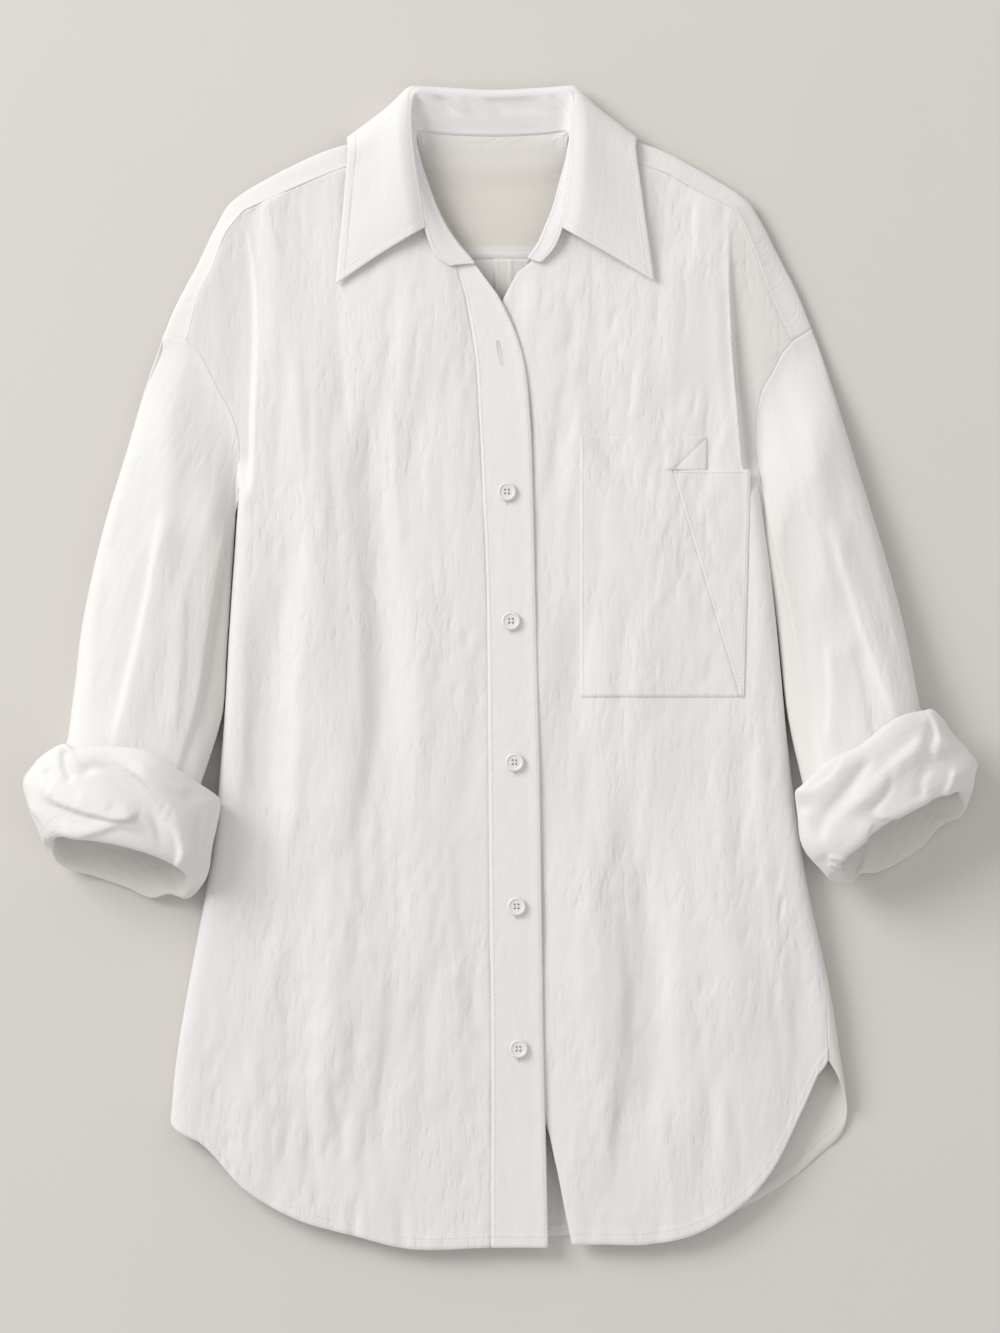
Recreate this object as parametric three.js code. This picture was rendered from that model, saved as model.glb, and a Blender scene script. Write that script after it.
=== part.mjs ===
// An oversized button-down shirt laid flat on its back, front up, with the collar open
// and the sleeves rolled. Millimetres, +Z up. +Y runs from the hem to the collar and
// -X is the wearer's right. The origin is on the surface it lies on, under the middle.
import * as THREE from "three";

// ---- driving sizes ---------------------------------------------------------------
const CLOTH = 1.2; // every cloth wall
const SEAM_GAP = 0.5; // between two pieces along a seam
const YOKE_GAP = 0.8; // and along the curved seams of the yoke
const SIDE_GAP = 0.8; // and along the slanting side seams
const FLOOR = CLOTH / 2; // middle of a layer that lies on the surface
const LAYER = 1.8; // from the middle of one lying layer to the next
const UNDERARM_Y = 118; // where the armholes close and the side seams start
const BUTTON = { radius: 6.35, height: 2.6, lift: 1.9 };
const BUTTONS = [
  { x: 4.4, y: 119 },
  { x: 7.1, y: 31.6 },
  { x: 9.5, y: -64 },
  { x: 10.9, y: -161.5 },
  { x: 12.2, y: -258 },
];

// The body from hem to shoulder, a row for each height. right and left are the folded
// sides, seam and edge the two sides of the upper placket, free the front edge of the
// layer under it, join where that layer's placket is sewn on, top the height of the
// front, round how far in a side fold starts to bend.
const BODY = [
  { y: -394, right: -226, left: 241, seam: -6.0, edge: 32.0, free: 49.2, join: 81, top: 12.0, round: 20 },
  { y: -366, right: -226, left: 240, seam: -6.0, edge: 31.5, free: 43.6, join: 75, top: 12.6, round: 20 },
  { y: -335, right: -225, left: 238, seam: -5.9, edge: 30.8, free: 37.4, join: 69, top: 13.4, round: 19 },
  { y: -304, right: -223, left: 236, seam: -5.8, edge: 30.0, free: 29.0, join: 61, top: 14.4, round: 18 },
  { y: -260, right: -219, left: 229.5, seam: -5.8, edge: 29.0, free: 3.0, join: 34.5, top: 16.5, round: 16 },
  { y: -219, right: -212, left: 223, seam: -6.2, edge: 28.4, free: -5.5, join: 26.5, top: 18.2, round: 14 },
  { y: -138, right: -197, left: 206, seam: -7.2, edge: 27.3, free: -7.2, join: 24.5, top: 20.0, round: 12 },
  { y: -56, right: -188, left: 194.5, seam: -7.8, edge: 26.0, free: -8.6, join: 23, top: 21.0, round: 11 },
  { y: 46, right: -182, left: 184.5, seam: -9.0, edge: 23.5, free: -10.6, join: 20.5, top: 21.0, round: 10 },
  { y: 127, right: -176.5, left: 174, seam: -12.2, edge: 21.6, free: -13.4, join: 18.5, top: 20.0, round: 9 },
  { y: 171, right: -174.5, left: 169, seam: -14.4, edge: 19.8, free: -15.0, join: 16.5, top: 19.0, round: 8 },
  { y: 213, right: -172, left: 164.7, seam: -17.0, edge: 14.6, free: -14.5, join: 11.0, top: 17.4, round: 7 },
  { y: 249, right: -171, left: 161.5, seam: -23.3, edge: 0.0, free: 1.8, join: 17.5, top: 15.4, round: 6 },
  { y: 271, right: -172, left: 159.6, seam: -29.4, edge: -15.6, free: 13.5, join: 25.5, top: 14.2, round: 5 },
  { y: 300, right: -174, left: 158.2, seam: -36.4, edge: -31, free: 29, join: 39, top: 13.0, round: 4 },
  { y: 350, right: -176, left: 157, seam: -57, edge: -50, free: 46, join: 50, top: 12.0, round: 4 },
];
// How far round the side fold each side seam lies: 0 is the front's end of the fold,
// 1 the back's, and past 1 it is on the underside, in units of 25 mm.
const SIDE_SEAM = [
  { y: -310, right: 0.45, left: 0.1 },
  { y: -264, right: 0.75, left: 0.14 },
  { y: -219, right: 1.1, left: 0.3 },
  { y: -138, right: 1.9, left: 0.8 },
  { y: -56, right: 2.1, left: 1.7 },
  { y: 46, right: 1.8, left: 1.7 },
  { y: 84, right: 0.95, left: 0.95 },
  { y: 118, right: 0.44, left: 0.44 },
];
const UNDERSIDE_UNIT = 25;
// Beside the armhole the front steps down over a short distance to a lower level.
const STEP = { low: 9.5, rise: 3, from: 225, to: 310, over: 11 };
// The heights over which the side fold gives way to that step.
const FOLD_ENDS = { from: UNDERARM_Y - 4, to: UNDERARM_Y + 26, back: UNDERARM_Y + 20 };
// How far past the upper placket's edge the layer under it rises to its own height.
const RISE = { from: 4, to: 34 };

// Hems, armholes and yoke seams as they lie, seen from above.
const FRONT_HEM_RIGHT = [[-6.2, -393], [-62, -394], [-96, -386], [-138, -374], [-173, -354],
  [-200, -325], [-215, -308]];
const FRONT_HEM_LEFT = [[49, -391], [99, -391], [132, -384], [161.5, -366], [183.5, -342],
  [204, -301], [214.5, -266]];
const BACK_HEM = [[-228, -306], [-197, -323], [-166, -346], [-130, -364], [-70, -380], [40, -386],
  [120, -379], [162, -368], [209, -338], [230, -312], [247, -266]];
const ARMHOLE_RIGHT = [[-176.5, 118], [-177, 146], [-181, 168], [-193.5, 193], [-203, 212], [-212.5, 222]];
const ARMHOLE_LEFT = [[175.5, 118], [173.5, 150], [177, 185], [184.5, 199.5], [191.5, 213], [198, 221]];
const YOKE_RIGHT = [[-212.5, 222], [-204, 255], [-196, 270], [-186, 295], [-174, 310]];
const YOKE_LEFT = [[198, 221], [183, 254], [172, 284], [164, 303], [159, 311]];
const YOKE_TOP_RIGHT = [[-174, 310], [-134, 328], [-109, 338], [-80, 346], [-57, 351]];
const YOKE_TOP_LEFT = [[159, 311], [131, 325], [108.5, 337], [78, 346], [46.5, 351]];
const NECK_RIGHT = [[-34.7, 290], [-43, 311], [-51, 332], [-57, 351]];
const NECK_LEFT = [[32.9, 285], [36, 311], [41.5, 332], [46.5, 351]];

// Soft ridges and troughs of the fronts, from one end to the other.
const FOLDS = [
  { x0: -92, y0: 210, x1: -70, y1: -120, wide: 15, lift: -2.4 },
  { x0: -128, y0: 255, x1: -122, y1: -60, wide: 13, lift: 1.8 },
  { x0: -60, y0: 90, x1: -48, y1: -250, wide: 14, lift: 1.5 },
  { x0: -150, y0: 60, x1: -165, y1: -230, wide: 15, lift: -1.6 },
  { x0: -110, y0: -120, x1: -126, y1: -340, wide: 16, lift: 1.6 },
  { x0: 60, y0: 240, x1: 78, y1: 190, wide: 16, lift: -1.8 },
  { x0: 118, y0: 290, x1: 110, y1: 180, wide: 14, lift: 1.6 },
  { x0: 86, y0: -60, x1: 118, y1: -330, wide: 15, lift: -2.2 },
  { x0: 140, y0: -70, x1: 168, y1: -270, wide: 15, lift: 1.8 },
  { x0: 56, y0: -110, x1: 72, y1: -350, wide: 11, lift: 1.4 },
];

// ---- small helpers ---------------------------------------------------------------
const v3 = (x, y, z) => new THREE.Vector3(x, y, z);
const lerp = THREE.MathUtils.lerp;
const smooth = (a, b, x) => THREE.MathUtils.smoothstep(x, a, b);

// A column of a table as a smooth function of the row's y.
function column(table, name) {
  return (y) => {
    const last = table.length - 1;
    if (y <= table[0].y) return table[0][name];
    if (y >= table[last].y) return table[last][name];
    let i = 0;
    while (table[i + 1].y < y) i += 1;
    const at = (k) => table[Math.min(Math.max(k, 0), last)];
    const slope = (k) => {
      const a = at(k - 1);
      const b = at(k + 1);
      return (b[name] - a[name]) / (b.y - a.y);
    };
    const step = at(i + 1).y - at(i).y;
    const t = (y - at(i).y) / step;
    const t2 = t * t;
    const t3 = t2 * t;
    return (2 * t3 - 3 * t2 + 1) * at(i)[name] + (t3 - 2 * t2 + t) * step * slope(i)
      + (3 * t2 - 2 * t3) * at(i + 1)[name] + (t3 - t2) * step * slope(i + 1);
  };
}

// A smooth path through points, run from 0 to 1 by its length.
function path(points) {
  const curve = new THREE.CatmullRomCurve3(
    points.map((p) => v3(p[0], p[1], p[2] ?? 0)), false, "centripetal");
  return (t) => curve.getPointAt(THREE.MathUtils.clamp(t, 0, 1));
}

// Two paths run one after the other, meeting at share of the whole.
function chain(first, second, share) {
  return (t) => (t < share ? first(t / share) : second((t - share) / (1 - share)));
}

const reverse = (curve) => (t) => curve(1 - t);

// A four-sided patch between two pairs of facing sides.
function patch(bottom, top, left, right) {
  const p00 = bottom(0);
  const p10 = bottom(1);
  const p01 = top(0);
  const p11 = top(1);
  return (u, v) => {
    const point = v3(0, 0, 0);
    point.addScaledVector(bottom(u), 1 - v).addScaledVector(top(u), v);
    point.addScaledVector(left(v), 1 - u).addScaledVector(right(v), u);
    point.addScaledVector(p00, -(1 - u) * (1 - v)).addScaledVector(p10, -u * (1 - v));
    point.addScaledVector(p01, -(1 - u) * v).addScaledVector(p11, -u * v);
    return point;
  };
}

// A cloth wall: each point of a surface is moved half the cloth out to both sides, and
// the rims are closed. around joins the last column to the first, as on a sleeve. The
// normal is taken between places a NUDGE to both sides.
const NUDGE = 0.002;
function wall(surface, us, vs, { around = false } = {}) {
  const rows = vs.length;
  const cols = us.length;
  const inside = (t) => THREE.MathUtils.clamp(t, 0, 1);
  const outer = [];
  const inner = [];
  for (const v of vs) {
    for (const u of us) {
      const right = around ? (u + NUDGE) % 1 : inside(u + NUDGE);
      const left = around ? (u + 1 - NUDGE) % 1 : inside(u - NUDGE);
      const across = surface(right, v).sub(surface(left, v));
      const along = surface(u, inside(v + NUDGE)).sub(surface(u, inside(v - NUDGE)));
      const normal = across.cross(along).normalize().multiplyScalar(CLOTH / 2);
      outer.push(surface(u, v).add(normal));
      inner.push(surface(u, v).sub(normal));
    }
  }
  const flat = [...outer, ...inner].flatMap((p) => [p.x, p.y, Math.max(p.z, 0)]);
  const low = rows * cols;
  const faces = [];
  const quad = (a, b, c, d) => faces.push(a, b, c, a, c, d);
  const lastCol = around ? cols : cols - 1;
  for (let i = 0; i < rows - 1; i += 1) {
    for (let j = 0; j < lastCol; j += 1) {
      const a = i * cols + j;
      const b = i * cols + ((j + 1) % cols);
      quad(a, b, b + cols, a + cols);
      quad(low + a, low + a + cols, low + b + cols, low + b);
    }
    if (!around) {
      const left = i * cols;
      const right = left + cols - 1;
      quad(left, left + cols, low + left + cols, low + left);
      quad(right, low + right, low + right + cols, right + cols);
    }
  }
  const top = (rows - 1) * cols;
  for (let j = 0; j < lastCol; j += 1) {
    const k = (j + 1) % cols;
    quad(j, low + j, low + k, k);
    quad(top + j, top + k, low + top + k, low + top + j);
  }
  const geometry = new THREE.BufferGeometry();
  geometry.setAttribute("position", new THREE.Float32BufferAttribute(flat, 3));
  geometry.setIndex(faces);
  geometry.computeVertexNormals();
  return geometry;
}

const spread = (n) => Array.from({ length: n + 1 }, (_, i) => i / n);

// ---- materials -------------------------------------------------------------------
const cotton = (color) => new THREE.MeshStandardMaterial({ color, roughness: 0.9, side: THREE.FrontSide });
const MATERIALS = {
  front: cotton(0xf3f2f3),
  back: cotton(0xe9e6e3),
  sleeve: cotton(0xf1f0ee),
  band: cotton(0xf6f6f5),
  button: new THREE.MeshStandardMaterial({ color: 0xf4f3f0, roughness: 0.28 }),
};
const shirt = new THREE.Group();
function add(name, geometry, material) {
  const mesh = new THREE.Mesh(geometry, material);
  mesh.name = name;
  shirt.add(mesh);
  return mesh;
}

// ---- the body's form -------------------------------------------------------------
const body = Object.fromEntries(
  ["right", "left", "seam", "edge", "free", "join", "top", "round"].map((name) => [name, column(BODY, name)]));
const seamTurn = { right: column(SIDE_SEAM, "right"), left: column(SIDE_SEAM, "left") };
const SIDES = { right: -1, left: 1 };

// The lift of a table's soft folds at a place, each fading out towards its two ends.
function liftOf(folds, x, y) {
  let lift = 0;
  for (const fold of folds) {
    const dx = fold.x1 - fold.x0;
    const dy = fold.y1 - fold.y0;
    const along = ((x - fold.x0) * dx + (y - fold.y0) * dy) / (dx * dx + dy * dy);
    const t = THREE.MathUtils.clamp(along, 0, 1);
    const away = Math.hypot(x - fold.x0 - t * dx, y - fold.y0 - t * dy);
    const fade = smooth(0, 0.25, t) * smooth(0, 0.25, 1 - t);
    lift += fold.lift * Math.exp(-((away / fold.wide) ** 2)) * fade;
  }
  return lift;
}
const frontHeight = (x, y) => body.top(y) + liftOf(FOLDS, x, y);

// The layer under the upper placket lies lower, and rises beside it.
function underHeight(x, y) {
  return frontHeight(x, y) - LAYER * (1 - smooth(RISE.from, RISE.to, x - body.edge(y)));
}

// A point of the side fold: turn 0 is its upper end, 1 its lower end on the surface,
// and past 1 it runs inwards on the underside.
function sideFold(side, y, turn) {
  const sign = SIDES[side];
  const round = body.round(y);
  const start = body[side](y) - sign * round;
  if (turn > 1) return v3(start - sign * (turn - 1) * UNDERSIDE_UNIT, y, FLOOR);
  const half = (frontHeight(start, y) - FLOOR) / 2;
  const angle = Math.PI * turn;
  return v3(start + sign * round * Math.sin(angle), y, FLOOR + half * (1 + Math.cos(angle)));
}
const foldLength = (y) => Math.PI * (body.round(y) + body.top(y) / 2) / 2;

// Where a side seam lies on the unrolled front: how far past the start of the fold.
function seamReach(side, y) {
  const turn = seamTurn[side](y);
  const length = foldLength(y);
  return turn <= 1 ? turn * length : length + (turn - 1) * UNDERSIDE_UNIT;
}

// The front as an unrolled sheet. Past the fold line it goes round the side below the
// underarm, and above it drops to the lower level beside the armhole.
function wrapFront(side, s, y, height) {
  const sign = SIDES[side];
  const start = body[side](y) - sign * body.round(y);
  const past = sign * (s - start);
  if (past <= 0) return v3(s, y, height(s, y));
  const length = foldLength(y);
  const turn = past <= length ? past / length : 1 + (past - length) / UNDERSIDE_UNIT;
  const rolled = sideFold(side, y, turn);
  const top = height(start, y);
  const low = Math.min(top, STEP.low + STEP.rise * smooth(STEP.from, STEP.to, y));
  const stepped = v3(s, y, lerp(top, low, smooth(0, STEP.over, past)));
  return rolled.lerp(stepped, smooth(FOLD_ENDS.from, FOLD_ENDS.to, y));
}

// The back as an unrolled sheet: past the lower end of the side fold it turns up.
function wrapBack(s, y) {
  const side = s < 0 ? "right" : "left";
  const sign = SIDES[side];
  const start = body[side](y) - sign * body.round(y);
  const past = sign * (s - start);
  if (past <= 0 || y > FOLD_ENDS.back) return v3(s, y, FLOOR);
  const turned = sideFold(side, y, Math.max(1 - past / foldLength(y), 0));
  return turned.lerp(v3(s, y, FLOOR), smooth(UNDERARM_Y, FOLD_ENDS.back, y));
}

// The unrolled line of a side seam, at a height, on the front and on the back.
function seamOnFront(side, y) {
  const sign = SIDES[side];
  return body[side](y) - sign * body.round(y) + sign * (seamReach(side, y) - SIDE_GAP);
}
function seamOnBack(side, y) {
  const sign = SIDES[side];
  const left = foldLength(y) - seamReach(side, y);
  return body[side](y) - sign * body.round(y) + sign * (left - SIDE_GAP);
}

// ---- fronts ----------------------------------------------------------------------
function line(xOf, y0, y1) {
  return (t) => {
    const y = lerp(y0, y1, t);
    return v3(xOf(y), y, 0);
  };
}

function frontPanel(side, inner, hem, armhole, yokeSide, yokeTop, neck, height) {
  const sign = SIDES[side];
  const hemEnd = hem[hem.length - 1];
  const hemSide = hemEnd[1];
  const reach = seamOnFront(side, hemSide);
  const bottom = path([...hem.slice(0, -1), [reach, hemSide]]);
  const seam = line((y) => seamOnFront(side, y), hemSide, UNDERARM_Y);
  const arm = path([[seamOnFront(side, UNDERARM_Y), UNDERARM_Y], ...armhole.slice(1)]
    .map(([x, y], i) => [x - (i ? sign * SEAM_GAP : 0), y]));
  const gap = (points) => points.map(([x, y]) => [x - sign * YOKE_GAP, y - YOKE_GAP]);
  const shoulder = path([arm(1).toArray(), ...gap(yokeSide.slice(1))]);
  const outer = chain(chain(seam, arm, SEAM_SHARE / ARM_SHARE), shoulder, ARM_SHARE);
  const corner = shoulder(1).toArray();
  const yokeLine = path([corner, ...gap(yokeTop.slice(1))]);
  const neckLine = path([...neck.slice(0, -1), yokeLine(1).toArray()]);
  const placketSide = line(inner, hem[0][1], neck[0][1]);
  const flat = patch(bottom, reverse(yokeLine), chain(placketSide, neckLine, NECK_SHARE), outer);
  return (u, v) => {
    const p = flat(u, v);
    return wrapFront(side, p.x, p.y, height);
  };
}

const FRONT_ACROSS = [0, 0.11, 0.22, 0.33, 0.44, 0.54, 0.63, 0.7, 0.76, 0.81, 0.85, 0.89, 0.93, 0.965, 1];
const SEAM_SHARE = 0.62; // the share of a panel's height beside the side seam
const ARM_SHARE = 0.86; // and up to the top of the armhole
const NECK_SHARE = 0.9; // the share of it beside the placket, below the neckline
const ALONG = [
  ...spread(15).map((t) => t * SEAM_SHARE),
  ...[0.14, 0.32, 0.5, 0.66, 0.82, 1].map((t) => lerp(SEAM_SHARE, ARM_SHARE, t)),
  NECK_SHARE, 0.925, 0.95, 0.975, 1,
];
const PLACKET_ALONG = ALONG.filter((t) => t <= NECK_SHARE).map((t) => t / NECK_SHARE);

function makeFronts() {
  const right = frontPanel("right", (y) => body.seam(y) - SEAM_GAP, FRONT_HEM_RIGHT,
    ARMHOLE_RIGHT, YOKE_RIGHT, YOKE_TOP_RIGHT, NECK_RIGHT, frontHeight);
  const left = frontPanel("left", (y) => body.join(y) + SEAM_GAP,
    [[body.join(-391) + SEAM_GAP, -391], ...FRONT_HEM_LEFT.slice(1)],
    ARMHOLE_LEFT, YOKE_LEFT, YOKE_TOP_LEFT,
    NECK_LEFT, underHeight);
  const mirrored = (u, v) => right(1 - u, v);
  add("front_right", wall(mirrored, FRONT_ACROSS.map((u) => 1 - u).reverse(), ALONG), MATERIALS.front);
  add("front_left", wall(left, FRONT_ACROSS, ALONG), MATERIALS.front);
}

// ---- plackets --------------------------------------------------------------------
function makePlackets() {
  const over = (u, v) => {
    const yLeft = lerp(-393, NECK_RIGHT[0][1], v);
    const yRight = lerp(-393, 271, v);
    const y = lerp(yLeft, yRight, u);
    const x = lerp(body.seam(yLeft), body.edge(yRight), u);
    return v3(x, y, frontHeight(x, y));
  };
  const under = (u, v) => {
    const yFree = lerp(-391, 268, v);
    const yJoin = lerp(-391, NECK_LEFT[0][1], v);
    const y = lerp(yFree, yJoin, u);
    const x = lerp(body.free(yFree), body.join(yJoin), u);
    return v3(x, y, underHeight(x, y));
  };
  add("placket_over", wall(over, spread(3), PLACKET_ALONG), MATERIALS.band);
  add("placket_under", wall(under, spread(3), PLACKET_ALONG), MATERIALS.band);
}

// ---- back ------------------------------------------------------------------------
const BACK_TOP_ENDS = { right: [-212.5, 221.4], left: [198, 220.4] };
// The box pleat under the yoke: a band of the back that stands a little over the rest.
const PLEAT = { x: 8, half: 11, slope: 3, from: 120, fade: 90, lift: 1.5, panel: 440 };

function makeBack() {
  const hemEnd = { right: BACK_HEM[0][1], left: BACK_HEM[BACK_HEM.length - 1][1] };
  const corner = (side) => [seamOnBack(side, hemEnd[side]), hemEnd[side]];
  const bottom = path([corner("right"), ...BACK_HEM.slice(1, -1), corner("left")]);
  const sideLine = (side, armhole) => {
    const sign = SIDES[side];
    const seam = line((y) => seamOnBack(side, y), hemEnd[side], UNDERARM_Y);
    const arm = path([[seamOnBack(side, UNDERARM_Y), UNDERARM_Y],
      ...armhole.slice(1, -1).map(([x, y]) => [x - sign * SEAM_GAP, y]), BACK_TOP_ENDS[side]]);
    return chain(seam, arm, SEAM_SHARE);
  };
  const right = sideLine("right", ARMHOLE_RIGHT);
  const left = sideLine("left", ARMHOLE_LEFT);
  const underYoke = YOKE.slice(1, -1).map((row) => [row.back[0], row.back[1] - YOKE_GAP]);
  const top = path([BACK_TOP_ENDS.right, ...underYoke, BACK_TOP_ENDS.left]);
  const flat = patch(bottom, top, right, left);
  const surface = (u, v) => {
    const p = flat(u, v);
    const point = wrapBack(p.x, p.y);
    const away = Math.abs(p.x - PLEAT.x);
    const raised = 1 - smooth(PLEAT.half, PLEAT.half + PLEAT.slope, away);
    point.z += PLEAT.lift * raised * smooth(PLEAT.from, PLEAT.from + PLEAT.fade, p.y);
    return point;
  };
  const edge = [0, 0.015, 0.03, 0.045, 0.065, 0.09, 0.13, 0.175, 0.22, 0.27, 0.32, 0.37];
  const ridge = [PLEAT.half, PLEAT.half + PLEAT.slope];
  const pleat = [-ridge[1], -ridge[0], ...ridge].map((d) => 0.5 + (PLEAT.x + d) / PLEAT.panel);
  const across = [...edge, 0.42, ...pleat, 0.59, ...edge.map((t) => 1 - t).reverse()];
  const along = [...spread(15).map((t) => t * SEAM_SHARE), 0.67, 0.73, 0.8, 0.87, 0.94, 1];
  add("back", wall(surface, across, along), MATERIALS.back);
}

// ---- yoke ------------------------------------------------------------------------
// From one armhole over both shoulders to the other: where it is sewn to the front or
// the neck, the fold along the shoulder, where it comes down on the surface, and the
// seam to the back. A place with no height lies on the surface.
const YOKE = [
  { front: [-213.2, 222.9, 9.4], fold: [-228.5, 225.5, 5.2], down: [-222.5, 224.4], back: [-212.8, 223] },
  { front: [-210, 237, 9.6], fold: [-222.5, 240, 5.2], down: [-217.5, 237], back: [-190, 230.5] },
  { front: [-204, 255.8, 10.2], fold: [-214, 257, 5.4], down: [-208, 254], back: [-168, 240.5] },
  { front: [-196, 271, 11], fold: [-205.5, 273, 5.8], down: [-199, 270], back: [-150, 250.5] },
  { front: [-186, 296, 12.2], fold: [-193, 299, 6.4], down: [-187, 294], back: [-132, 258.5] },
  { front: [-174, 311.4, 12.6], fold: [-182, 316, 6.6], down: [-176, 310], back: [-116, 264] },
  { front: [-134, 329, 12.7], fold: [-137, 342, 6.8], down: [-133, 333], back: [-94, 270.5] },
  { front: [-109, 339, 12.3], fold: [-110, 353, 7], down: [-107, 344, FLOOR + 0.8], back: [-78, 274.5] },
  { front: [-80, 347, 12], fold: [-80, 360, 7.4], down: [-79, 345, FLOOR + LAYER], back: [-60, 276.7] },
  { front: [-59.5, 352, 11.8], fold: [-60, 364, 8], down: [-60, 347, FLOOR + LAYER + 0.3], back: [-46, 277.3] },
  { front: [-54, 361.5, 4.6], fold: [-52.5, 356.5, 3.8], down: [-51, 342, FLOOR + LAYER], back: [-38, 277.6] },
  { front: [-36, 360.2, 3], fold: [-35, 355, 2.8], down: [-34, 340, FLOOR + LAYER], back: [-26, 277.8] },
  { front: [-6, 359, 3], fold: [-6, 354, 2.8], down: [-6, 339, FLOOR + LAYER], back: [-4, 278] },
  { front: [25, 360.2, 3], fold: [24, 355, 2.8], down: [23, 340, FLOOR + LAYER], back: [18, 277.8] },
  { front: [43.5, 361.5, 4.6], fold: [42, 356.5, 3.8], down: [40.5, 342, FLOOR + LAYER], back: [32, 277.6] },
  { front: [49, 352, 11.8], fold: [49.5, 364, 8], down: [49.5, 347, FLOOR + LAYER + 0.3], back: [40, 277.3] },
  { front: [78, 347, 12], fold: [78, 360, 7.4], down: [77, 345, FLOOR + LAYER], back: [56, 276.4] },
  { front: [108.5, 338, 12.3], fold: [109.5, 350.5, 7], down: [106, 343, FLOOR + 0.8], back: [76, 274.2] },
  { front: [131, 326, 12.6], fold: [135, 337, 6.8], down: [130, 329], back: [92, 269] },
  { front: [159, 312, 12.6], fold: [166.5, 317, 6.6], down: [160, 311], back: [112, 262.6] },
  { front: [165.5, 303.5, 12.2], fold: [175.5, 304, 6.4], down: [169, 299], back: [126, 256] },
  { front: [173, 284.5, 11.2], fold: [186.5, 283, 5.8], down: [180, 279], back: [142, 247.5] },
  { front: [184, 254.5, 10.2], fold: [200, 256.5, 5.4], down: [194, 253], back: [170, 233.5] },
  { front: [199, 221.8, 9.4], fold: [211, 229.5, 5.2], down: [206.5, 226.8], back: [198.5, 222] },
];

const placeOf = ([x, y, z = FLOOR]) => v3(x, y, z);

// A surface through a table of sections, each with the same named places.
function loft(table, names) {
  const rails = names.map((name) => new THREE.CatmullRomCurve3(
    table.map((row) => placeOf(row[name])), false, "centripetal"));
  return (t, s) => {
    const points = rails.map((rail) => rail.getPoint(t));
    const across = new THREE.CatmullRomCurve3(points, false, "centripetal");
    return across.getPoint(s);
  };
}

function makeYoke() {
  const table = YOKE.map((row) => ({ ...row, low: [0, 1].map((i) => lerp(row.down[i], row.back[i], 0.25)) }));
  const through = loft(table, ["front", "fold", "down", "low", "back"]);
  const surface = (u, v) => {
    const point = through(v, u);
    point.z = Math.max(point.z, FLOOR);
    return point;
  };
  const across = [0, 0.09, 0.17, 0.25, 0.33, 0.42, 0.5, 0.62, 0.75, 0.87, 1];
  add("yoke", wall(surface, across, spread(30)), MATERIALS.back);
}

// ---- collar ----------------------------------------------------------------------
// The stand from its right front end round the neck to its left one.
const STAND = [
  { neck: [-17.2, 273.8, 16.3], mid: [-26, 273.2, 17.4], top: [-34.6, 272.2, 17.6] },
  { neck: [-21, 278.6, 16.2], mid: [-31, 277.4, 17.8], top: [-41.6, 277, 18.4] },
  { neck: [-27, 285.6, 15.6], mid: [-36.5, 284.6, 18], top: [-46.4, 284, 19.4] },
  { neck: [-34.6, 296, 14.8], mid: [-42.6, 295.2, 18.6], top: [-50.4, 295, 20.6] },
  { neck: [-43.2, 312.4, 14], mid: [-48.6, 312, 19], top: [-53, 312, 21.6] },
  { neck: [-50.8, 332.6, 13.6], mid: [-54.4, 333, 19], top: [-56.6, 333.6, 22.4] },
  { neck: [-55.4, 348, 14], mid: [-58, 352, 18.6], top: [-59.4, 354, 22] },
  { neck: [-57.4, 361.8, 9.6], mid: [-59.4, 370, 14.6], top: [-60.4, 377, 19.4] },
  { neck: [-52, 363.6, 5.2], mid: [-54.8, 376.5, 10.4], top: [-57.6, 389.6, 15.6] },
  { neck: [-40, 362.4, 3.9], mid: [-40.5, 376, 8.6], top: [-41, 389.8, 13.4] },
  { neck: [-6, 361, 3.6], mid: [-6, 374.6, 8], top: [-6, 388.4, 12.6] },
  { neck: [30, 362.4, 3.9], mid: [30.5, 376, 8.6], top: [31, 389.8, 13.4] },
  { neck: [42, 363.6, 5.2], mid: [44.2, 376.5, 10.4], top: [46.8, 390, 15.6] },
  { neck: [46.8, 361.8, 9.6], mid: [48.4, 370, 14.6], top: [49.2, 377, 19.4] },
  { neck: [45.2, 348, 14.6], mid: [47.4, 352, 18.6], top: [48.6, 354, 22] },
  { neck: [41.2, 332.6, 14.8], mid: [44.6, 332.8, 18.6], top: [47, 333, 22.2] },
  { neck: [35.4, 311.4, 15], mid: [40.4, 311, 17.8], top: [44.6, 311, 21.2] },
  { neck: [30.4, 299, 15.2], mid: [36, 297.6, 18], top: [41.4, 296, 19.8] },
  { neck: [25.2, 287.4, 15.6], mid: [30.8, 285.4, 17.4], top: [36.4, 284.4, 18.8] },
  { neck: [18.6, 277.6, 15.8], mid: [23.2, 275.6, 16.8], top: [27.8, 274.6, 17.4] },
];
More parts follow.
